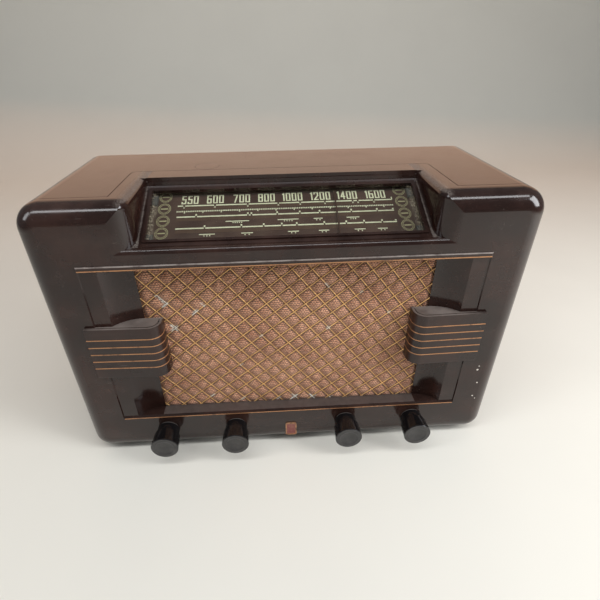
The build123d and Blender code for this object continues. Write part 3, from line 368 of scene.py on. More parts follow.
    def shader(self, **values: object) -> Field:
        """Add the main surface shader.

        Args:
            **values: Its sockets, with _ for a space in their names.

        Returns:
            The shader.
        """
        sockets = {name.replace("_", " "): value for name, value in values.items()}
        return self.node("ShaderNodeBsdfPrincipled", sockets=sockets)

    def finish(self, surface: Field) -> bpy.types.Material:
        """Join the shader to the output.

        Args:
            surface: The shader.

        Returns:
            The finished material.
        """
        output = self.tree.nodes.new("ShaderNodeOutputMaterial")
        self.tree.links.new(surface.socket, output.inputs["Surface"])
        return self.material


# ---------------------------------------------------------------- dust, stains and wear on the bakelite
def smears(g: Graph) -> Field:
    """Slanting smears left by wiping hands, from 0 to 1."""
    return g.noise(0.03, 3.0, 0.6, g.stretched((0.35, 1.0, 1.6), (0, 24, 10)))


class Deposit:
    """Dust, grime or a stain on one part of the bakelite."""

    def lay(self, g: Graph, haze: Field, rough: Field) -> tuple[Field, Field]:
        """Add this deposit to what lies on the surface so far.

        Args:
            g: The graph.
            haze: Mask of the dust so far.
            rough: Roughness so far.

        Returns:
            The new mask and roughness.
        """
        raise NotImplementedError


@dataclass(frozen=True)
class RingStain(Deposit):
    """Dull ring left on the top by a wet glass: its middle and radius."""

    x: float
    y: float
    radius: float

    def lay(self, g: Graph, haze: Field, rough: Field) -> tuple[Field, Field]:
        """Clear the dust along a broken ring, and dull the surface there.

        Args:
            g: The graph.
            haze: Mask of the dust so far.
            rough: Roughness so far.

        Returns:
            The new mask and roughness.
        """
        middle, on = (self.x, self.y), (g.x, g.y)
        ring = g.blob(middle, self.radius * 1.04, on, 0.965) - g.blob(middle, self.radius * 0.985, on, 0.95)
        ring = ring * g.up.step(0.8, 0.95) * g.noise(0.02, 3.0).step(0.3, 0.6)
        return haze * (1 - ring * 0.8), rough + ring * 0.25


@dataclass(frozen=True)
class GrimeFilm(Deposit):
    """Smeared grime on the front, thickest at its foot and gone at its top."""

    foot: float
    top: float

    def lay(self, g: Graph, haze: Field, rough: Field) -> tuple[Field, Field]:
        """Add the grime to faces that look forward.

        Args:
            g: The graph.
            haze: Mask of the dust so far.
            rough: Roughness so far.

        Returns:
            The new mask and the same roughness.
        """
        grime = g.z.step(self.top, self.foot) * g.front.step(0.6, 0.95)
        return haze | (grime * smears(g).step(0.2, 0.9) * 0.10), rough


@dataclass(frozen=True)
class DustLine(Deposit):
    """Thick dust beside each end of the dial glass: where it starts and thins, and the glass's low edge."""

    start: float
    thins: float
    glass_y: float
    glass_z: float
    fade: float = 14 * MM
    ragged: float = 1.2 * MM

    def lay(self, g: Graph, haze: Field, rough: Field) -> tuple[Field, Field]:
        """Add the dust to upward faces beside the glass.

        Args:
            g: The graph.
            haze: Mask of the dust so far.
            rough: Roughness so far.

        Returns:
            The new mask and roughness.
        """
        patch = g.noise(0.009, 3.0, 0.6)
        away = abs(g.x) + (patch - 0.5) * self.ragged
        line = away.step(self.start - 0.5 * MM, self.start + 0.5 * MM)
        line = line * away.step(self.thins + self.fade, self.thins)
        line = line * g.y.step(self.glass_y - 9 * MM, self.glass_y - 5 * MM)
        line = line * g.z.step(self.glass_z - 4 * MM, self.glass_z)
        line = line * g.up.step(0.5, 0.85) * g.noise(0.0012, 3.0, 0.7).step(0.34, 0.6)
        return haze | (line * (0.35 + patch * 0.5)), rough + line * 0.5


@dataclass(frozen=True)
class LedgeDust(Deposit):
    """Patchy dust on the ledge below the grille opening."""

    half_width: float
    foot: float
    top: float
    front_y: float

    def lay(self, g: Graph, haze: Field, rough: Field) -> tuple[Field, Field]:
        """Add the dust to the ledge's upward face.

        Args:
            g: The graph.
            haze: Mask of the dust so far.
            rough: Roughness so far.

        Returns:
            The new mask and roughness.
        """
        shelf = abs(g.x).step(self.half_width + 1 * MM, self.half_width)
        shelf = shelf * g.z.step(self.foot - 1 * MM, self.foot) * g.z.step(self.top, self.top - 1 * MM)
        shelf = shelf * g.y.step(self.front_y + 0.5 * MM, self.front_y + 2 * MM) * g.up.step(0.6, 0.9)
        return haze | (shelf * (0.04 + g.noise(0.006, 3.0, 0.7) * 0.22)), rough + shelf * 0.5


@dataclass(frozen=True)
class LipDustAndHighlight(Deposit):
    """Pale dust and a painted highlight along the foremost lip of the moulding."""

    front_y: float

    def lay(self, g: Graph, haze: Field, rough: Field) -> tuple[Field, Field]:
        """Add the dust and painted highlight along the lip's upper edge.

        Args:
            g: The graph.
            haze: Mask of the dust so far.
            rough: Roughness so far.

        Returns:
            The new mask and roughness.
        """
        # pale line on the lip's upper edge: dust, and a painted highlight
        lip = g.y.step(self.front_y + 1.7 * MM, self.front_y + 1.2 * MM) * g.up.step(0.15, 0.5)
        return haze | (lip * g.noise(0.02, 4.0, 0.7).step(0.2, 0.6) * 0.75), rough + lip * 0.3


@dataclass(frozen=True)
class Chip:
    """A pale chip in the front moulding: its middle and radius."""

    x: float
    z: float
    radius: float

    def mask(self, g: Graph) -> Field:
        """Ragged round mask on faces that look forward.

        Args:
            g: The graph.

        Returns:
            The mask, from 0 to 1.
        """
        wobble = (g.noise(0.002, 2.0) - 0.5) * self.radius
        spot = g.blob((self.x, self.z), self.radius, (g.x + wobble, g.z - wobble), 0.7)
        return spot * g.front.step(0.3, 0.6)


# ---------------------------------------------------------------- finishes
@dataclass(frozen=True)
class Bakelite:
    """Moulded bakelite: dark and polished, with dust, fine scratches and hand-worn patches."""

    name: str
    base: Colour = (0.0150, 0.0060, 0.0045)
    mottle: Colour = (0.0340, 0.0130, 0.0090)
    dust: Colour = (0.30, 0.26, 0.23)
    chipped: Colour = (0.70, 0.66, 0.58)
    gloss: float = 0.10
    chip_roughness: float = 0.75
    dust_on_top: float = 0.06
    relief: float = 0.05 * MM
    chips: tuple[Chip, ...] = ()
    deposits: tuple[Deposit, ...] = ()

    def material(self) -> bpy.types.Material:
        """Build the material."""
        g = Graph(self.name)
        cloud = g.noise(0.045, 4.0, 0.6)
        fine = g.noise(0.0011, 3.0, 0.7)
        haze, rough = self._age(g, cloud, fine)
        for deposit in self.deposits:
            haze, rough = deposit.lay(g, haze, rough)
        colour = g.mix(cloud.step(0.35, 0.75), self.base, self.mottle)
        colour = g.mix(haze, colour, self.dust)
        for chip in self.chips:
            bare = chip.mask(g)
            colour = g.mix(bare, colour, self.chipped)
            rough = g.blend(bare, rough, self.chip_roughness)
        height = g.noise(0.006, 2.0) * 0.7 + fine * 0.3
        return g.finish(
            g.shader(Base_Color=colour, Roughness=rough, Normal=g.bump(height, self.relief, 0.55), IOR=1.50)
        )

    def _age(self, g: Graph, cloud: Field, fine: Field) -> tuple[Field, Field]:
        """Dust, hand smears, scratches and specks that lie all over.

        Args:
            g: The graph.
            cloud: Broad noise.
            fine: Fine noise.

        Returns:
            Mask of the dust, and the roughness.
        """
        scratch = self._scratches(g)
        dust = g.up.step(0.25, 0.95) * cloud.step(0.2, 0.85) * self.dust_on_top
        dust = dust + fine.step(0.66, 0.78) * g.up.step(0.1, 0.8) * 0.22
        film = g.front.step(0.5, 1.0) * smears(g).step(0.35, 0.85) * 0.03
        speck = g.noise(0.0006, 2.0).step(0.70, 0.76)
        bloom = g.noise(0.016, 4.0, 0.7).step(0.52, 0.72) * g.noise(0.0014, 3.0, 0.8).step(0.45, 0.62)
        haze = (dust + film) | (scratch * 0.16) | (speck * 0.30) | (bloom * 0.05)
        rough = self.gloss + cloud.step(0.3, 0.8) * 0.07 + dust * 0.9 + scratch * 0.12 + film * 1.2
        return haze, rough

    @staticmethod
    def _scratches(g: Graph) -> Field:
        """Hair-fine scratches in two directions.

        Args:
            g: The graph.

        Returns:
            Their mask.
        """
        one = g.noise(0.0012, 2.0, 0.4, g.stretched((0.022, 1.0, 1.0), (4, 12, 18)))
        two = g.noise(0.0011, 2.0, 0.4, g.stretched((1.0, 0.02, 0.5), (11, 3, -34)))
        broken = g.noise(0.018, 2.0).step(0.5, 0.62)
        return (one.step(0.70, 0.745) | two.step(0.715, 0.75)) * broken


@dataclass(frozen=True)
class Metal:
    """Bare or plated metal with tarnish and fine marks."""

    name: str
    bright: Colour
    dull: Colour
    rough: float = 0.35
    metallic: float = 1.0
    marks: float = 1.6 * MM
    relief: float = 0.04 * MM
    grit: Colour = (0.10, 0.08, 0.06)

    def material(self) -> bpy.types.Material:
        """Build the material."""
        g = Graph(self.name)
        tarnish = g.noise(0.012, 4.0, 0.65).step(0.35, 0.72)
        marks = g.noise(self.marks, 3.0, 0.6)
        colour = g.mix(tarnish * 0.75, self.bright, self.dull)
        colour = g.mix(marks.step(0.6, 0.8) * 0.25, colour, self.grit)
        return g.finish(
            g.shader(
                Base_Color=colour,
                Roughness=self.rough + tarnish * 0.2 + marks * 0.08,
                Metallic=self.metallic,
                Normal=g.bump(marks, self.relief, 0.6),
            )
        )


@dataclass(frozen=True)
class Plain:
    """Dull non-metal with two-tone mottling and a fine grain."""

    name: str
    light: Colour
    dark: Colour
    grain: float = 1.5 * MM
    patch: float = 20 * MM
    rough: float = 0.7
    relief: float = 0.1 * MM
    stretch: Point = (1.0, 1.0, 1.0)
    sheen: float = 0.0

    def material(self) -> bpy.types.Material:
        """Build the material."""
        g = Graph(self.name)
        patch = g.noise(self.patch, 3.0, 0.6).step(0.25, 0.8)
        grain = g.noise(self.grain, 4.0, 0.7, g.stretched(self.stretch))
        return g.finish(
            g.shader(
                Base_Color=g.mix(patch * 0.5 + grain.step(0.3, 0.75) * 0.5, self.dark, self.light),
                Roughness=self.rough + grain * 0.15,
                Normal=g.bump(grain, self.relief, 0.8),
                Sheen_Weight=self.sheen,
            )
        )


@dataclass(frozen=True)
class CopperLine:
    """Copper paint laid in a groove, rubbed and dirty in places."""

    name: str = "copper_line"
    bright: Colour = (0.52, 0.26, 0.125)
    dirty: Colour = (0.16, 0.085, 0.05)
    relief: float = 0.05 * MM

    def material(self) -> bpy.types.Material:
        """Build the material."""
        g = Graph(self.name)
        worn = g.noise(0.014, 4.0, 0.7)
        speck = g.noise(0.0009, 2.0, 0.6)
        dirt = worn.step(0.50, 0.70) * 0.85 | speck.step(0.58, 0.72) * 0.6
        return g.finish(
            g.shader(
                Base_Color=g.mix(dirt, self.bright, self.dirty),
                Roughness=0.38 + dirt * 0.3,
                Metallic=0.55 - dirt * 0.35,
                Normal=g.bump(speck, self.relief, 0.6),
            )
        )


@dataclass(frozen=True)
class BadgeEnamel:
    """Dull red enamel field inside a copper rim."""

    centre_z: float
    half_width: float
    half_height: float
    name: str = "badge_enamel"
    edge: float = 0.3 * MM
    red: Colour = (0.21, 0.045, 0.04)
    faded_red: Colour = (0.30, 0.12, 0.09)
    copper: Colour = (0.55, 0.29, 0.16)
    dirty_copper: Colour = (0.12, 0.06, 0.04)
    relief: float = 0.1 * MM

    def material(self) -> bpy.types.Material:
        """Build the material."""
        g = Graph(self.name)
        inside = abs(g.x).step(self.half_width, self.half_width - self.edge)
        inside = inside & abs(g.z - self.centre_z).step(self.half_height, self.half_height - self.edge)
        worn = g.noise(0.003, 4.0, 0.7)
        enamel = g.mix(worn.step(0.4, 0.7), self.red, self.faded_red)
        rim = g.mix(worn.step(0.45, 0.65), self.copper, self.dirty_copper)
        return g.finish(
            g.shader(
                Base_Color=g.mix(inside, rim, enamel),
                Roughness=0.36 + worn * 0.2,
                Metallic=(1 - inside) * 0.6,
                Normal=g.bump(worn, self.relief, 0.5),
            )
        )


@dataclass(frozen=True)
class WornSpot:
    """A streak on the grille that is rubbed white: its middle, half length and heading."""

    x: float
    z: float
    reach: float
    rising: bool
    strength: float = 1.0


@dataclass(frozen=True)
class Wear:
    """Where the wire grille is rubbed white."""

    spots: tuple[WornSpot, ...]
    angle: float
    width: float = 1.3 * MM
    ragged_ends: float = 3.0 * MM
    ragged_sides: float = 1.2 * MM

    def mask(self, g: Graph) -> Field:
        """Mask of every rubbed streak.

        Args:
            g: The graph.

        Returns:
            The mask, from 0 to 1.
        """
        ragged = g.noise(0.0016, 3.0, 0.7) - 0.5
        total: Optional[Field] = None
        for spot in self.spots:
            heading = math.radians(self.angle if spot.rising else self.angle + 90.0)
            across, up = g.x - spot.x, g.z - spot.z
            along = across * math.cos(heading) + up * math.sin(heading)
            aside = up * math.cos(heading) - across * math.sin(heading)
            streak = abs(along + ragged * self.ragged_ends).step(spot.reach, spot.reach * 0.6)
            aside = abs(aside + ragged * self.ragged_sides)
            streak = streak * aside.step(self.width * 1.5, self.width * 0.5) * spot.strength
            total = streak if total is None else total | streak
        return total


@dataclass(frozen=True)
class GiltWire:
    """Gilt wire of the grille, bare and white where it's rubbed."""

    wear: Wear
    name: str = "gilt_wire"
    gilt: Colour = (0.88, 0.53, 0.21)
    dull: Colour = (0.55, 0.31, 0.125)
    bare: Colour = (0.72, 0.70, 0.62)
    relief: float = 0.06 * MM

    def material(self) -> bpy.types.Material:
        """Build the material."""
        g = Graph(self.name)
        colour = g.mix(g.noise(0.011, 3.0, 0.6).step(0.35, 0.7), self.gilt, self.dull)
        rubbed = self.wear.mask(g)
        return g.finish(
            g.shader(
                Base_Color=g.mix(rubbed, colour, self.bare),
                Roughness=0.42 + rubbed * 0.3,
                Metallic=0.3 - rubbed * 0.3,
                Normal=g.bump(g.noise(0.0008, 2.0), self.relief, 0.7),
            )
        )


@dataclass(frozen=True)
class WireRun:
    """One family of parallel grille wires: spacing, and how far a wire passes from the middle."""

    pitch: float
    shift: float


@dataclass(frozen=True)
class GrilleWeave:
    """Open woven grille cloth in copper-brown yarn with dark gaps between the threads, painted shade
    towards the opening's edges and painted shadow below each wire.
    """

    wear: Wear
    middle_z: float
    half_width: float
    half_height: float
    turn: float
    rising: WireRun
    falling: WireRun
    name: str = "grille_cloth"
    yarn: Colour = (0.36, 0.135, 0.060)
    pale_yarn: Colour = (0.86, 0.470, 0.290)
    gap: Colour = (0.020, 0.008, 0.005)
    fluff: Colour = (0.70, 0.68, 0.60)
    pitch_x: float = 2.7 * MM
    pitch_z: float = 2.25 * MM
    shadow_reach: float = 3.2 * MM
    shadow_rise: float = 1.1 * MM
    ragged: float = 1.2 * MM
    relief: float = 0.5 * MM

    def wire_shadows(self, g: Graph) -> Field:
        """Painted shadow in the creases, heavier just below each wire.

        Args:
            g: The graph.

        Returns:
            Its mask, from 0 to 1.
        """
        cosine, sine = math.cos(self.turn), math.sin(self.turn)
        up = g.z - self.middle_z
        total: Optional[Field] = None
        for aside, wires in (
            (up * cosine - g.x * sine, self.rising),
            (g.x * cosine + up * sine, self.falling),
        ):
            turns = (aside - wires.shift) / wires.pitch
            offset = ((turns + 0.5).floor() - turns) * wires.pitch
            below = offset + (g.noise(0.002, 3.0, 0.7) - 0.5) * self.ragged
            # painted shadow: a dark band just below each wire
            shadow_band = below.step(-self.shadow_rise, 0.0) * below.step(self.shadow_reach, 0.3 * MM)
            total = shadow_band if total is None else total | shadow_band
        return total

    def material(self) -> bpy.types.Material:
        """Build the material."""
        g = Graph(self.name)
        half_row = (g.z / self.pitch_z).floor() * 0.5
        shift = (half_row - half_row.floor()) * self.pitch_x
        across = ((g.x + shift) * (math.pi / self.pitch_x)).sin()
        along = (g.z * (math.pi / self.pitch_z)).sin()
        weft = 1 - abs(across) ** 2.0
        warp = 1 - abs(along) ** 2.0
        jitter = g.noise(0.0017, 2.0, 0.7)
        gaps = (weft * warp).step(0.12, 0.36) * jitter.step(0.30, 0.44)
        thread = abs(along) ** 0.6 * 0.7 + abs(across) ** 0.6 * 0.3
        slub = g.noise(0.0012, 3.0, 0.7, g.stretched((0.3, 1.0, 1.0)))
        tone = g.noise(0.05, 3.0, 0.6).step(0.3, 0.7)
        shade = abs(g.x).step(self.half_width * 0.86, self.half_width * 1.02)
        shade = shade | (g.z - self.middle_z).step(self.half_height * 0.86, self.half_height * 1.02)
        rubbed = self.wear.mask(g) * g.noise(0.0014, 2.0).step(0.4, 0.55)
        colour = g.mix(slub.step(0.35, 0.7) * 0.7 + tone * 0.3, self.yarn, self.pale_yarn)
        for mask, tint in (
            (shade * 0.45, self.yarn),
            (gaps * 0.9, self.gap),
            # painted shadow below each wire, laid in the dark gap colour
            (self.wire_shadows(g) * 0.85, self.gap),
            (rubbed * 0.7, self.fluff),
        ):
            colour = g.mix(mask, colour, tint)
        return g.finish(
            g.shader(
                Base_Color=colour,
                Roughness=0.82 - slub * 0.15,
                Normal=g.bump(thread * 0.8 + slub * 0.2 - gaps * 0.6, self.relief, 0.8),
                Sheen_Weight=0.25,
                Sheen_Roughness=0.5,
            )
        )


@dataclass(frozen=True)
class DialGlass:
    """Flat glass with a film of dust, thicker along its edges."""

    half_width: float
    low_y: float
    high_y: float
    name: str = "clear_glass"
    tint: Colour = (0.93, 0.94, 0.92)
    mirror: Colour = (1.0, 1.0, 1.0)
    dust: Colour = (0.52, 0.45, 0.32)
    ragged: float = 6.0 * MM

    def rim(self, g: Graph, ragged: Field) -> Field:
        """Dust along the glass's edges, heaviest at its two ends.

        Args:
            g: The graph.
            ragged: How far its edge wanders.

        Returns:
            The mask, from 0 to 1.
        """
        ends = (abs(g.x) + ragged).step(self.half_width - 9 * MM, self.half_width - 3 * MM)
        foot = (g.y - ragged).step(self.low_y + 5 * MM, self.low_y + 1.5 * MM)
        top = (g.y + ragged).step(self.high_y - 5 * MM, self.high_y)
        return ends | foot * 0.7 | top * 0.35

    def material(self) -> bpy.types.Material:
        """Build the material."""
        g = Graph(self.name)
        cloud = g.noise(0.02, 4.0, 0.65)
        grain = g.noise(0.0013, 3.0, 0.7).step(0.46, 0.66)
        speck = g.noise(0.0009, 2.0, 0.5).step(0.70, 0.78)
        edges = self.rim(g, (cloud - 0.5) * self.ragged) * grain
        dust = edges * (0.25 + cloud * 0.75) + speck * 0.20 + cloud.step(0.4, 0.9) * 0.03
        clear = g.node("ShaderNodeBsdfTransparent", sockets={"Color": self.tint})
        mirror = g.shader(Base_Color=self.mirror, Metallic=1.0, Roughness=0.03 + cloud * 0.05)
        film = g.shader(Base_Color=self.dust, Roughness=0.9)
        return g.finish(g.layer(dust, g.layer(g.gloss(), clear, mirror), film))


@dataclass(frozen=True)
class BulbGlass:
    """Clear thin glass of a bulb, silvered above a height where one is given."""

    name: str
    silver_from: Optional[float] = None
    tint: Colour = (0.85, 0.87, 0.86)
    mirror: Colour = (0.75, 0.76, 0.78)
    silver_fade: float = 4.0 * MM

    def material(self) -> bpy.types.Material:
        """Build the material."""
        g = Graph(self.name)
        cloud = g.noise(0.01, 3.0, 0.6)
        mask = g.gloss() * 0.8 + cloud.step(0.4, 0.8) * 0.08 + 0.05
        if self.silver_from is not None:
            mask = mask | g.z.step(self.silver_from, self.silver_from + self.silver_fade)
        clear = g.node("ShaderNodeBsdfTransparent", sockets={"Color": self.tint})
        mirror = g.shader(Base_Color=self.mirror, Metallic=1.0, Roughness=0.08 + cloud * 0.15)
        return g.finish(g.layer(mask, clear, mirror))


@dataclass(frozen=True)
class KnobBakelite:
    """Black bakelite of the knobs: grey dust on the faces, polished sides."""

    name: str = "bakelite_black"
    black: Colour = (0.0055, 0.0050, 0.0055)
    dust: Colour = (0.33, 0.31, 0.30)
    relief: float = 0.05 * MM

    def material(self) -> bpy.types.Material:
        """Build the material."""
        g = Graph(self.name)
        cloud = g.noise(0.008, 4.0, 0.65)
        fine = g.noise(0.0009, 3.0, 0.7)
        face = g.front.step(0.6, 0.95)
        dust = face * (cloud.step(0.3, 0.8) * 0.10 + 0.07)
        dust = dust + g.up.step(0.3, 0.95) * cloud.step(0.5, 0.9) * 0.03
        dust = dust + fine.step(0.66, 0.78) * 0.05
        return g.finish(
            g.shader(
                Base_Color=g.mix(dust, self.black, self.dust),
                Roughness=0.12 + face * 0.30 + cloud * 0.06,
                Normal=g.bump(fine, self.relief, 0.5),
            )
        )


@dataclass(frozen=True)
class DialPlateInk:
    """Dark brown lacquer of the dial plate, slightly faded."""

    name: str = "dial_print"
    brown: Colour = (0.050, 0.021, 0.014)
    faded: Colour = (0.078, 0.036, 0.024)
    fleck: Colour = (0.25, 0.19, 0.12)
    relief: float = 0.05 * MM

    def material(self) -> bpy.types.Material:
        """Build the material."""
        g = Graph(self.name)
        fade = g.noise(0.04, 3.0, 0.6)
        speck = g.noise(0.0012, 3.0, 0.7)
        colour = g.mix(fade.step(0.3, 0.75), self.brown, self.faded)
        colour = g.mix(speck.step(0.66, 0.76) * 0.35, colour, self.fleck)
        return g.finish(
            g.shader(Base_Color=colour, Roughness=0.5 + fade * 0.2, Normal=g.bump(speck, self.relief, 0.4))
        )


@dataclass(frozen=True)
class PrintedInk:
    """Ink of the dial markings, a little mottled and worn."""

    name: str
    ink: Colour
    aged: Colour
    relief: float = 0.04 * MM

    def material(self) -> bpy.types.Material:
        """Build the material."""
        g = Graph(self.name)
        age = g.noise(0.006, 4.0, 0.7)
        colour = g.mix(age.step(0.45, 0.75) * 0.7, self.ink, self.aged)
        return g.finish(
            g.shader(Base_Color=colour, Roughness=0.55 + age * 0.2, Normal=g.bump(age, self.relief, 0.4))
        )


@dataclass(frozen=True)
class PaleTop:
    """Pale plain studio floor."""

    name: str = "studio_floor"
    tone: Colour = (0.84, 0.82, 0.74)
    shade: float = 0.975

    def material(self) -> bpy.types.Material:
        """Build the material."""
        g = Graph(self.name)
        cloud = g.noise(0.25, 3.0, 0.6)
        colour = g.mix(cloud.step(0.3, 0.8), self.tone, tuple(part * self.shade for part in self.tone))
        return g.finish(g.shader(Base_Color=colour, Roughness=0.55 + cloud * 0.1))


# ---------------------------------------------------------------- mesh pieces
class MeshDraft:
    """Corners and faces gathered for one piece."""

    def __init__(self, name: str) -> None:
        """Start an empty draft.

        Args:
            name: The piece's name.
        """
        self.name = name
        self.points: list[Point] = []
        self.faces: list[tuple[int, ...]] = []

    def slab(
        self,
        outline: Sequence[tuple[float, float]],
        place: Callable[[float, float, float], Vector],
        low: float,
        high: float,
    ) -> None:
        """Add a flat slab with this outline.

        Args:
            outline: Its corners in the plane, anticlockwise.
            place: Turns plane coordinates and height into a point.
            low: Height of the underside.
            high: Height of the top.
        """
        start = len(self.points)
        count = len(outline)
        for level in (low, high):
            self.points += [tuple(place(u, v, level)) for u, v in outline]
        self.faces.append(tuple(start + i for i in reversed(range(count))))
        self.faces.append(tuple(start + count + i for i in range(count)))
        for i in range(count):
            after = (i + 1) % count
            self.faces.append((start + i, start + after, start + count + after, start + count + i))

    def build(self, material: bpy.types.Material, smooth: bool = False) -> bpy.types.Object:
        """Make the object.

        Args:
            material: Its material.
            smooth: Whether its faces are shaded smooth.

        Returns:
            The new object.
        """
        mesh = bpy.data.meshes.new(self.name)
        mesh.from_pydata(self.points, [], self.faces)
        mesh.validate()
        mesh.materials.append(material)
        mesh.polygons.foreach_set("use_smooth", [smooth] * len(mesh.polygons))
        piece = bpy.data.objects.new(self.name, mesh)
        bpy.context.scene.collection.objects.link(piece)
        return piece


def dress(frame: dict, nodes: Iterable[str], material: bpy.types.Material) -> None:
    """Give CAD nodes a material.

    Args:
        frame: The loaded frame.
        nodes: Names of the nodes.
        material: The material.
    """
    for name in nodes:
        mesh = frame["nodes"][name].data
        mesh.materials.clear()
        mesh.materials.append(material)
        LOG.info("%s: dressed in %s", name, material.name)


# ---------------------------------------------------------------- sub-assemblies
@dataclass
class Cabinet:
    """The two mouldings, the louvre blocks, the copper lines, the badge and the feet."""

    chips: tuple[Chip, ...] = (
        Chip(0.2052, 0.101, 1.3 * MM),
        Chip(0.2060, 0.106, 0.8 * MM),
        Chip(0.2090, 0.082, 1.1 * MM),
        Chip(0.2082, 0.062, 1.0 * MM),
        Chip(0.2118, 0.058, 0.8 * MM),
    )
    ring_stain: RingStain = RingStain(-0.0780, 0.0400, 0.0125)
    badge_rim: float = 1.15 * MM
    dust_line_offset: float = 3.4 * MM
    dust_line_thins: float = 5.0 * MM
    ledge_half_width: float = 142.0 * MM
    ledge_rise: float = 6.0 * MM
    grime_share: float = 0.25

    def dress(self, frame: dict) -> None:
        """Give the cabinet's nodes their finishes."""
        low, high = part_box("front_moulding")
        glass_low, glass_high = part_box("dial_glass")
        cloth_low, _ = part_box("speaker_cloth")
        brown = Bakelite(
            "bakelite_brown",
            chips=self.chips,
            deposits=(
                GrimeFilm(low.z, low.z + self.grime_share * (high.z - low.z)),
                DustLine(
                    glass_high.x + self.dust_line_offset,
                    glass_high.x + self.dust_line_thins,
                    glass_low.y,
                    glass_low.z,
                ),
                LedgeDust(self.ledge_half_width, cloth_low.z, cloth_low.z + self.ledge_rise, low.y),
                LipDustAndHighlight(low.y),
            ),
        )
        dress(frame, ["front_moulding"], brown.material())
        shell = Bakelite("bakelite_shell", deposits=(self.ring_stain,))
        dress(frame, ["cabinet_shell"], shell.material())
        blocks = Bakelite("bakelite_louvres", dust_on_top=0.62, gloss=0.26)
        dress(frame, ["louvre_left", "louvre_right"], blocks.material())
        dress(frame, ["grille_trim", "louvre_lines"], CopperLine().material())
        low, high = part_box("badge_plaque")
        enamel = BadgeEnamel(
            centre_z=(low.z + high.z) / 2,
            half_width=(high.x - low.x) / 2 - self.badge_rim,
            half_height=(high.z - low.z) / 2 - self.badge_rim,
        )
        dress(frame, ["badge_plaque"], enamel.material())
        rubber = Plain("black_rubber", (0.035, 0.035, 0.035), (0.02, 0.02, 0.02), rough=0.75)
        dress(frame, ["rubber_feet", "mains_grommet"], rubber.material())


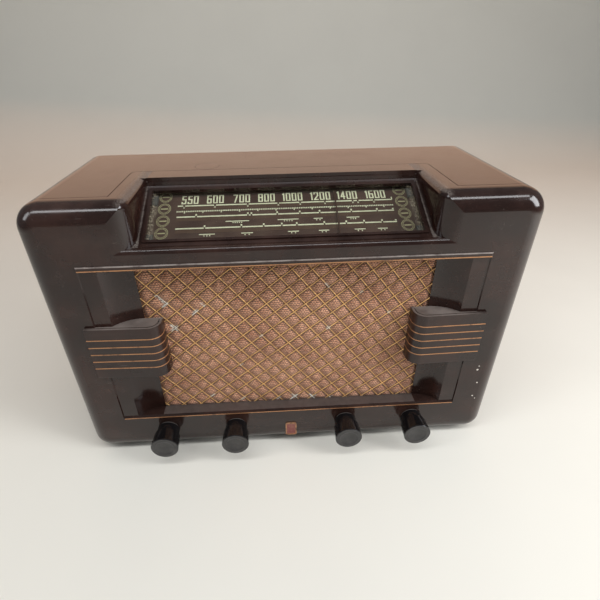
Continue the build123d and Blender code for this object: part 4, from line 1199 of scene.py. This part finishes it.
@dataclass
class Grille:
    """The wire lattice, its angle in degrees, and the cloth that swells between its wires."""

    angle: float = 38.7
    rising: WireRun = WireRun(12.94 * MM, -5.3 * MM)
    falling: WireRun = WireRun(14.56 * MM, -5.3 * MM)
    opening_half_width: float = 142.5 * MM
    opening_margin: float = 4.0 * MM
    cell: float = 1.15 * MM
    front_wire_room: float = 0.9 * MM
    swell: float = 1.8 * MM
    wire_room: float = 0.06 * MM
    tightness: float = 0.9
    spots: tuple[WornSpot, ...] = (
        WornSpot(-0.1239, 0.1972, 8.0 * MM, False),
        WornSpot(-0.1200, 0.1910, 5.0 * MM, True),
        WornSpot(-0.0927, 0.1814, 5.5 * MM, True, 0.9),
        WornSpot(-0.0837, 0.1898, 4.0 * MM, False, 0.8),
        WornSpot(-0.1158, 0.1632, 6.0 * MM, False),
        WornSpot(-0.1158, 0.1632, 6.0 * MM, True),
        WornSpot(0.0386, 0.2061, 4.0 * MM, False, 0.7),
        WornSpot(0.0727, 0.1972, 2.5 * MM, True, 0.6),
        WornSpot(0.1030, 0.1721, 2.5 * MM, True, 0.6),
        WornSpot(0.0415, 0.1554, 3.5 * MM, True, 0.7),
        WornSpot(0.0415, 0.1554, 3.0 * MM, False, 0.7),
        WornSpot(-0.0284, 0.1484, 3.0 * MM, True, 0.6),
        WornSpot(-0.0520, 0.1110, 3.5 * MM, True, 0.7),
        WornSpot(-0.0877, 0.0684, 4.5 * MM, True, 0.8),
        WornSpot(-0.0542, 0.0605, 5.0 * MM, True, 0.9),
        WornSpot(-0.0127, 0.0585, 4.5 * MM, True, 0.8),
        WornSpot(0.0050, 0.0596, 7.0 * MM, True),
        WornSpot(0.0050, 0.0596, 6.0 * MM, False),
        WornSpot(0.0262, 0.0582, 6.5 * MM, False),
        WornSpot(0.0262, 0.0582, 6.5 * MM, True),
        WornSpot(0.0476, 0.0562, 5.5 * MM, True, 0.9),
    )

    def dress(self, frame: dict) -> None:
        """Dress the wires and the board, and lay the cloth."""
        wear = Wear(self.spots, self.angle)
        dress(frame, ["grille_lattice"], GiltWire(wear).material())
        board = Plain("plywood", (0.52, 0.37, 0.22), (0.36, 0.24, 0.13), stretch=(0.05, 1.0, 1.0))
        dress(frame, ["baffle_board"], board.material())
        self.cloth(wear)

    def cloth(self, wear: Wear) -> None:
        """Lay the cloth over the board, swelling forward between the wires.

        Args:
            wear: Where the grille is rubbed white.
        """
        low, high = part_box("speaker_cloth")
        middle_z = (low.z + high.z) / 2
        half_height = (high.z - low.z) / 2
        columns = round((high.x - low.x) / self.cell)
        rows = round((high.z - low.z) / self.cell)
        draft = MeshDraft("grille_cloth")
        turn = math.radians(self.angle)
        for j in range(rows + 1):
            z = low.z + (high.z - low.z) * j / rows
            for i in range(columns + 1):
                x = low.x + (high.x - low.x) * i / columns
                draft.points.append((x, low.y - self.lift(x, z - middle_z, turn, half_height), z))
        width = columns + 1
        for j in range(rows):
            for i in range(columns):
                corner = j * width + i
                draft.faces.append((corner, corner + 1, corner + 1 + width, corner + width))
        weave = GrilleWeave(
            wear,
            middle_z,
            self.opening_half_width,
            half_height - self.opening_margin,
            turn,
            self.rising,
            self.falling,
        )
        piece = draft.build(weave.material(), smooth=True)
        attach(piece, "cabinet")
        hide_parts("speaker_cloth")
        LOG.info("grille_cloth: %d by %d cells", columns, rows)

    def lift(self, x: float, z: float, turn: float, half_height: float) -> float:
        """How far the cloth stands forward at a place.

        Args:
            x: Place across.
            z: Place up from the middle.
            turn: Angle of the rear wires, in radians.
            half_height: Half the cloth's height.

        Returns:
            The distance, in metres.
        """
        aside_rising = z * math.cos(turn) - x * math.sin(turn) - self.rising.shift
        aside_falling = x * math.cos(turn) + z * math.sin(turn) - self.falling.shift
        over_front = abs(math.sin(math.pi * aside_falling / self.falling.pitch)) ** self.tightness
        between = abs(math.sin(math.pi * aside_rising / self.rising.pitch)) ** self.tightness
        edge = min(
            (self.opening_half_width - abs(x)) / self.opening_margin,
            (half_height - self.opening_margin / 2 - abs(z)) / self.opening_margin,
        )
        fade = max(0.0, min(1.0, edge))
        rise = self.front_wire_room * over_front + self.swell * over_front * between
        return self.wire_room * fade + rise * fade


class Mark(Enum):
    """Which side of a scale line its ticks stand on."""

    ABOVE = 1
    BELOW = -1


@dataclass
class Dial:
    """The dial plate's printing, the glass, the pointer and the lamps.

    Numerals, ticks, groups, bands and rings are placed in millimetres from the plate's middle and foot.
    """

    tilt: float = math.radians(25.8)
    thickness: float = 1.0 * MM
    ink_rise: float = 0.06 * MM
    stroke: float = 1.35 * MM
    digit_width: float = 4.6 * MM
    flag: float = 1.8 * MM
    digit_gap: float = 1.25 * MM
    digit_height: float = 11.0 * MM
    numeral_base: float = 55.2 * MM
    line_left: float = -102.8 * MM
    line_right: float = 105.6 * MM
    numerals: tuple[tuple[str, float], ...] = (
        ("550", -91.4), ("600", -66.9), ("700", -41.3), ("800", -17.0),
        ("1000", 8.8), ("1200", 36.4), ("1400", 62.9), ("1600", 91.0),
    )
    half_line: float = 0.75 * MM
    tick_gap: float = 1.3 * MM
    tick_length: float = 2.1 * MM
    first_line: float = 52.7 * MM
    first_ticks: tuple[float, ...] = (-96.7, -67.1, -35.4, -5.8, 15.6, 39.9, 67.2, 72.3, 88.1)
    second_line: float = 38.2 * MM
    second_ticks: tuple[float, ...] = (-84.4, -35.4, -32.0, -7.3, 14.4, 33.5, 50.2, 64.1, 89.2)
    third_line: float = 23.4 * MM
    third_ticks: tuple[float, ...] = (-75.8, -41.5, -20.6, -3.6, 10.5, 36.6, 57.5, 74.4, 91.7)
    row_height: float = 45.3 * MM
    row_pitch: float = 1.75 * MM
    upper_group_top: float = 31.4
    upper_groups: tuple[tuple[float, float], ...] = (
        (-56.4, -34.2), (-7.3, 12.6), (26.9, 35.6), (58.5, 70.8),
    )
    lower_group_top: float = 16.1
    lower_groups: tuple[tuple[float, float], ...] = (
        (-80.4, -65.9), (-41.5, -30.8), (1.7, 11.9), (30.5, 40.2), (64.1, 74.4), (86.1, 95.3),
    )
    bands: tuple[tuple[float, float], ...] = ((33.1, 36.7), (17.8, 21.9), (47.6, 51.2))
    ring_height: tuple[float, ...] = (65.4, 49.6, 33.8, 18.5)
    ring_x: float = 115.2
    ring_half_width: float = 6.3
    ring_half_height: float = 7.3
    ring_teeth: int = 24
    ring_bar: float = 3.4
    digit_strokes: dict[str, tuple[tuple[float, float], ...]] = field(default_factory=lambda: {
        "0": ((0, 0), (1, 0), (1, 2), (0, 2), (0, 0)),
        "1": ((0, 1.75), (0.5, 2), (0.5, 0)),
        "2": ((0, 1.6), (0, 2), (1, 2), (1, 1.15), (0, 0), (1, 0)),
        "4": ((0.78, 0), (0.78, 2), (0, 0.6), (1.05, 0.6)),
        "5": ((1, 2), (0.12, 2), (0.12, 1.1), (1, 1.1), (1, 0), (0, 0), (0, 0.35)),
        "6": ((1, 2), (0, 2), (0, 0), (1, 0), (1, 1.1), (0, 1.1)),
        "7": ((0, 2), (1, 2), (0.32, 0)),
        "8": ((0, 0), (1, 0), (1, 2), (0, 2), (0, 0), (0, 1.05), (1, 1.05)),
    })

    def __post_init__(self) -> None:
        """Find the plate's face from its box."""
        low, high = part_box("dial_plate")
        run = (high.y - low.y - self.thickness * math.sin(self.tilt)) / math.cos(self.tilt)
        self.up_slope = Vector((0, math.cos(self.tilt), math.sin(self.tilt)))
        self.out = Vector((0, -math.sin(self.tilt), math.cos(self.tilt)))
        self.foot = Vector((0, low.y, high.z - run * math.sin(self.tilt)))

    def on_face(self, across: float, up: float, out: float) -> Vector:
        """Point on the plate's face.

        Args:
            across: Distance right of the middle.
            up: Distance up the slope from the plate's lower edge.
            out: Distance out of the face.

        Returns:
            The point in the frame.
        """
        return self.foot + Vector((across, 0, 0)) + self.up_slope * up + self.out * out

    def bar(self, draft: MeshDraft, left: float, right: float, low: float, high: float) -> None:
        """Add an upright rectangle of ink."""
        outline = [(left, low), (right, low), (right, high), (left, high)]
        draft.slab(outline, self.on_face, self.ink_rise * 0.2, self.ink_rise)

    def stroke_line(self, draft: MeshDraft, start: Vector, end: Vector, width: float, lift: float) -> None:
        """Add a straight stroke of ink with slightly lengthened ends.

        Args:
            draft: The draft to add to.
            start: First end, in the plate's plane.
            end: Second end.
            width: Its width.
            lift: Height of its top, so that crossing strokes don't share a face.
        """
        along = (end - start).normalized()
        aside = Vector((-along.y, along.x)) * width / 2
        first, second = start - along * width / 2, end + along * width / 2
        outline = [tuple(first - aside), tuple(second - aside), tuple(second + aside), tuple(first + aside)]
        draft.slab(outline, self.on_face, self.ink_rise * 0.2, lift)

    def numeral(self, draft: MeshDraft, text: str, middle: float) -> None:
        """Add one number of the scale.

        Args:
            draft: The draft to add to.
            text: Its digits.
            middle: Where its middle is.
        """
        widths = [self.stroke if digit == "1" else self.digit_width for digit in text]
        left = middle - (sum(widths) + self.digit_gap * (len(text) - 1)) / 2
        for digit, width in zip(text, widths):
            reach = self.flag if digit == "1" else width - self.stroke
            foot = left + (width - reach) / 2
            rise = (self.digit_height - self.stroke) / 2
            base = self.numeral_base + self.stroke / 2
            corners = [Vector((foot + u * reach, base + v * rise)) for u, v in self.digit_strokes[digit]]
            for index, (start, end) in enumerate(zip(corners, corners[1:])):
                self.stroke_line(draft, start, end, self.stroke, self.ink_rise * (1 + 0.04 * index))
            left += width + self.digit_gap

    def scale_line(
        self, draft: MeshDraft, height: float, ticks: Sequence[float], side: Mark, gap: float
    ) -> None:
        """Add a scale line with ticks, broken where each tick stands.

        Args:
            draft: The draft to add to.
            height: Its height up the slope.
            ticks: Places of its ticks, in millimetres.
            side: The side that the ticks stand on.
            gap: Width of the breaks.
        """
        breaks = sorted(tick * MM for tick in ticks)
        left = self.line_left
        for place in [*breaks, None]:
            right = self.line_right if place is None else place - gap
            if right > left:
                self.bar(draft, left, right, height - self.half_line, height + self.half_line)
            if place is not None:
                left = place + gap
                foot = height + side.value * self.tick_gap
                low, high = sorted((foot, foot + side.value * self.tick_length))
                self.bar(draft, place - self.half_line, place + self.half_line, low, high)

    def group(self, draft: MeshDraft, left: float, right: float, top: float) -> None:
        """Add a short underlined group of small blocks.

        Args:
            draft: The draft to add to.
            left: Left end, in millimetres.
            right: Right end, in millimetres.
            top: Its upper line's height, in millimetres.
        """
        self.bar(draft, left * MM, right * MM, (top - 1.0) * MM, top * MM)
        middle, span = (left + right) / 2, (right - left) * 0.36
        count = max(2, round(span / 1.6))
        for index in range(count):
            place = middle + span * (index / (count - 1) - 0.5)
            self.bar(draft, (place - 0.5) * MM, (place + 0.5) * MM, (top - 3.0) * MM, (top - 1.7) * MM)

    def ring(self, draft: MeshDraft, across: float, up: float) -> None:
        """Add a round mark: a toothed ring round a plain one, with a bar across.

        Args:
            draft: The draft to add to.
            across: Its middle across, in millimetres.
            up: Its middle up the slope, in millimetres.
        """
        tooth = 2 * math.pi / self.ring_teeth
        spread = 0.3 * tooth
        for index in range(self.ring_teeth):
            turn = tooth * index
            for inner, outer, reach in ((0.86, 1.0, spread), (0.70, 0.77, spread * 1.7)):
                outline = [
                    (
                        (across + self.ring_half_width * size * math.cos(turn + side)) * MM,
                        (up + self.ring_half_height * size * math.sin(turn + side)) * MM,
                    )
                    for size, side in ((inner, -reach), (outer, -reach), (outer, reach), (inner, reach))
                ]
                draft.slab(outline, self.on_face, self.ink_rise * 0.2, self.ink_rise)
        left, right = (across - self.ring_bar) * MM, (across + self.ring_bar) * MM
        self.bar(draft, left, right, up * MM - self.half_line, up * MM + self.half_line)

    def ruled_row(self, draft: MeshDraft) -> None:
        """Add the evenly ruled row between the first two scale lines, with every tenth mark longer."""
        half_mark, rise, drop, long_drop, first_long = 0.55 * MM, 0.9 * MM, 0.8 * MM, 2.4 * MM, 4
        top = self.row_height + rise
        count = round((self.line_right - self.line_left) / self.row_pitch)
        for index in range(count + 1):
            place = self.line_left + index * self.row_pitch
            foot = self.row_height - (long_drop if index % 10 == first_long else drop)
            self.bar(draft, place - half_mark, place + half_mark, foot, top)

    def end_marks(self, draft: MeshDraft) -> None:
        """Add the small marks at the right-hand ends of the three scale lines."""
        end = self.line_right
        self.bar(draft, end, end + 0.9 * MM, self.first_line, self.first_line + 3.6 * MM)
        for line in (self.second_line, self.third_line):
            self.bar(draft, end - 1.6 * MM, end, line + 1.4 * MM, line + 2.8 * MM)

    def build(self) -> None:
        """Print the dial."""
        pale = PrintedInk("dial_ink_pale", (0.80, 0.80, 0.58), (0.52, 0.50, 0.32)).material()
        tan = PrintedInk("dial_ink_tan", (0.085, 0.042, 0.024), (0.055, 0.027, 0.016)).material()
        olive = PrintedInk("dial_ink_olive", (0.50, 0.46, 0.26), (0.32, 0.29, 0.16)).material()
        scale = MeshDraft("dial_scales")
        for text, place in self.numerals:
            self.numeral(scale, text, place * MM)
        self.scale_line(scale, self.first_line, self.first_ticks, Mark.BELOW, 0.9 * MM)
        self.ruled_row(scale)
        self.scale_line(scale, self.second_line, self.second_ticks, Mark.ABOVE, 0.8 * MM)
        self.scale_line(scale, self.third_line, self.third_ticks, Mark.ABOVE, 0.8 * MM)
        for left, right in self.upper_groups:
            self.group(scale, left, right, self.upper_group_top)
        for left, right in self.lower_groups:
            self.group(scale, left, right, self.lower_group_top)
        rings = MeshDraft("dial_rings")
        for side in (-1, 1):
            for up in self.ring_height:
                self.ring(rings, side * self.ring_x, up)
        self._finish(rings.build(olive))
        self.end_marks(scale)
        self._finish(scale.build(pale))
        bands = MeshDraft("dial_bands")
        for low, high in self.bands:
            self.bar(bands, self.line_left, self.line_right, low * MM, high * MM)
        self._finish(bands.build(tan))
        LOG.info("dial_scales: %d numbers", len(self.numerals))

    @staticmethod
    def _finish(piece: bpy.types.Object) -> None:
        """Hold a printed piece on the cabinet."""
        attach(piece, "cabinet")

    def dress(self, frame: dict) -> None:
        """Dress the plate, glass, pointer and lamps."""
        dress(frame, ["dial_plate"], DialPlateInk().material())
        low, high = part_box("dial_glass")
        dress(frame, ["dial_glass"], DialGlass(high.x, low.y, high.y).material())
        pointer = PrintedInk("pointer_paint", (0.055, 0.020, 0.010), (0.035, 0.014, 0.008))
        dress(frame, ["dial_pointer"], pointer.material())
        dress(frame, ["dial_lamps"], BulbGlass("lamp_glass", tint=(0.95, 0.9, 0.78)).material())


@dataclass
class Knobs:
    """Four knobs on their shafts, with felt behind them."""

    names: tuple[str, ...] = ("tone_knob", "volume_knob", "band_knob", "tuning_knob")

    def dress(self, frame: dict) -> None:
        """Give the knobs and felts their finishes."""
        dress(frame, self.names, KnobBakelite().material())
        felt = Plain("felt", (0.09, 0.08, 0.07), (0.04, 0.035, 0.03), grain=0.5 * MM, rough=0.95, sheen=0.4)
        dress(frame, ["felt_washers"], felt.material())


@dataclass
class Works:
    """Chassis, loudspeaker, tuning drive, valves and back panel."""

    groups: tuple[tuple[Union[Metal, Plain], tuple[str, ...]], ...] = (
        (Metal("plated_steel", (0.56, 0.55, 0.49), (0.34, 0.31, 0.25), 0.38),
         ("chassis", "chassis_bolts", "gang_frame", "pulley_plate", "pointer_rail",
          "fixing_screws", "tone_shaft", "volume_shaft", "band_shaft", "tuning_shaft")),
        (Metal("brass_parts", (0.62, 0.47, 0.23), (0.33, 0.22, 0.10), 0.3),
         ("lamp_holders", "left_pulley", "right_pulley", "turn_pulley", "spindle_bearing",
          "terminal_screws")),
        (Metal("aluminium_parts", (0.68, 0.69, 0.70), (0.42, 0.42, 0.42), 0.34),
         ("dial_drum", "gang_rotor", "gang_stators", "chassis_cans")),
        (Metal("painted_steel", (0.07, 0.075, 0.075), (0.035, 0.035, 0.036), 0.5, 0.2),
         ("speaker_frame", "speaker_magnet", "dial_clips")),
        (Metal("iron_core", (0.15, 0.13, 0.12), (0.07, 0.06, 0.05), 0.5, 0.6),
         ("output_transformer", "transformer_core")),
        (Plain("cone_paper", (0.13, 0.12, 0.11), (0.07, 0.065, 0.06), rough=0.9),
         ("speaker_cone", "speaker_spider")),
        (Plain("grey_card", (0.34, 0.32, 0.29), (0.24, 0.22, 0.2), rough=0.9), ("speaker_surround",)),
        (Plain("drive_thread", (0.52, 0.46, 0.34), (0.33, 0.28, 0.2), grain=0.6 * MM, rough=0.85),
         ("dial_cord", "drive_cord")),
        (Plain("phenolic", (0.24, 0.12, 0.055), (0.14, 0.065, 0.03), rough=0.45, stretch=(0.2, 1.0, 1.0)),
         ("tone_control", "volume_control", "band_switch", "valve_sockets", "terminal_strip")),
        (Plain("wound_paper", (0.46, 0.33, 0.19), (0.33, 0.22, 0.12), rough=0.6, stretch=(0.1, 1.0, 1.0)),
         ("transformer_winding",)),
        (Plain("fibreboard", (0.235, 0.150, 0.092), (0.135, 0.080, 0.048),
               grain=2.2 * MM, patch=50 * MM, rough=0.85, relief=0.25 * MM),
         ("back_panel",)),
        (Plain("valve_base_black", (0.03, 0.028, 0.027), (0.018, 0.017, 0.017), rough=0.4),
         ("valve_bases",)),
    )
    silvered_from: float = 0.55

    def dress(self, frame: dict) -> None:
        """Give every inner node its finish."""
        for finish, nodes in self.groups:
            dress(frame, nodes, finish.material())
        low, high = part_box("valve_glasses")
        bulbs = BulbGlass("valve_bulb_glass", silver_from=low.z + self.silvered_from * (high.z - low.z))
        dress(frame, ["valve_glasses"], bulbs.material())


@dataclass(frozen=True)
class Lamp:
    """One soft studio light."""

    name: str
    place: Point
    aim: Point
    size: tuple[float, float]
    power: float
    colour: Colour = (1.0, 1.0, 1.0)

    def build(self) -> None:
        """Hang the light."""
        data = bpy.data.lights.new(self.name, "AREA")
        data.shape = "RECTANGLE"
        data.size, data.size_y = self.size
        data.energy = self.power
        data.color = self.colour
        lamp = bpy.data.objects.new(self.name, data)
        lamp.location = self.place
        heading = Vector(self.aim) - Vector(self.place)
        lamp.rotation_euler = heading.to_track_quat("-Z", "Y").to_euler()
        lamp.visible_camera = False
        bpy.context.scene.collection.objects.link(lamp)


@dataclass
class Studio:
    """Pale floor that sweeps up behind, soft lights, sky and camera."""

    eye: Point = (-0.01508, -0.41464, 0.40551)
    right: Point = (0.99837, -0.05516, -0.01478)
    forward: Point = (0.03841, 0.84020, -0.54092)
    focal_length: float = 25.02
    shift: tuple[float, float] = (0.0179, 0.0168)
    nearest: float = 10 * MM
    floor_half: float = 2.6
    sweep_start: float = 1.1
    sweep_radius: float = 0.7
    sweep_steps: int = 24
    wall_height: float = 1.6
    sky: Colour = (0.80, 0.81, 0.83)
    sky_strength: float = 0.22
    lamps: tuple[Lamp, ...] = (
        Lamp("overhead", (0.0, -0.55, 1.45), (0.0, 0.0, 0.12), (2.3, 0.24), 14.0, (0.97, 0.98, 1.0)),
        Lamp("window_left", (-1.3, -0.5, 0.95), (0.0, 0.0, 0.14), (0.35, 0.7), 4.0, (0.95, 0.97, 1.0)),
        Lamp("window_right", (1.15, -0.55, 0.70), (0.45, -0.3, 0.05), (0.5, 0.8), 13.0, (0.96, 0.97, 1.0)),
        Lamp("warm_back", (0.1, 1.3, 0.75), (0.0, 0.0, 0.2), (3.4, 0.8), 4.8, (1.0, 0.46, 0.22)),
    )

    def floor(self) -> None:
        """Lay the floor and its upward sweep."""
        draft = MeshDraft("studio_floor")
        profile = [(-self.floor_half, 0.0), (self.sweep_start, 0.0)]
        for index in range(1, self.sweep_steps + 1):
            turn = math.pi / 2 * index / self.sweep_steps
            back, rise = self.sweep_radius * math.sin(turn), self.sweep_radius * (1 - math.cos(turn))
            profile.append((self.sweep_start + back, rise))
        profile.append((self.sweep_start + self.sweep_radius, self.sweep_radius + self.wall_height))
        for y, z in profile:
            draft.points += [(-self.floor_half, y, z), (self.floor_half, y, z)]
        for index in range(len(profile) - 1):
            low = 2 * index
            draft.faces.append((low, low + 1, low + 3, low + 2))
        draft.build(PaleTop().material(), smooth=True)

    def camera(self) -> None:
        """Set the camera at its station."""
        data = bpy.data.cameras.new("camera")
        data.lens = self.focal_length
        data.shift_x, data.shift_y = self.shift
        data.clip_start = self.nearest
        camera = bpy.data.objects.new("camera", data)
        right, forward = Vector(self.right).normalized(), Vector(self.forward).normalized()
        up = right.cross(forward)
        turn = Matrix((right, up, -forward)).transposed().to_4x4()
        camera.matrix_world = Matrix.Translation(Vector(self.eye)) @ turn
        bpy.context.scene.collection.objects.link(camera)
        bpy.context.scene.camera = camera

    def build(self) -> None:
        """Set up the whole studio."""
        self.floor()
        self.camera()
        for lamp in self.lamps:
            lamp.build()
        world = bpy.data.worlds.new("studio_sky")
        world.use_nodes = True
        sky = world.node_tree.nodes["Background"]
        sky.inputs["Color"].default_value = (*self.sky, 1.0)
        sky.inputs["Strength"].default_value = self.sky_strength
        bpy.context.scene.world = world
        bpy.context.scene.view_settings.view_transform = "Standard"
        LOG.info("studio: %d lights", len(self.lamps))


def main() -> None:
    """Load the frame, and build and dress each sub-assembly."""
    logging.basicConfig(level=logging.INFO, format="%(name)s %(message)s")
    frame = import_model()
    Studio().build()
    Cabinet().dress(frame)
    Grille().dress(frame)
    dial = Dial()
    dial.build()
    dial.dress(frame)
    Knobs().dress(frame)
    Works().dress(frame)
    LOG.info("finished: %d nodes", len(frame["nodes"]))


if __name__ == "__main__":
    main()
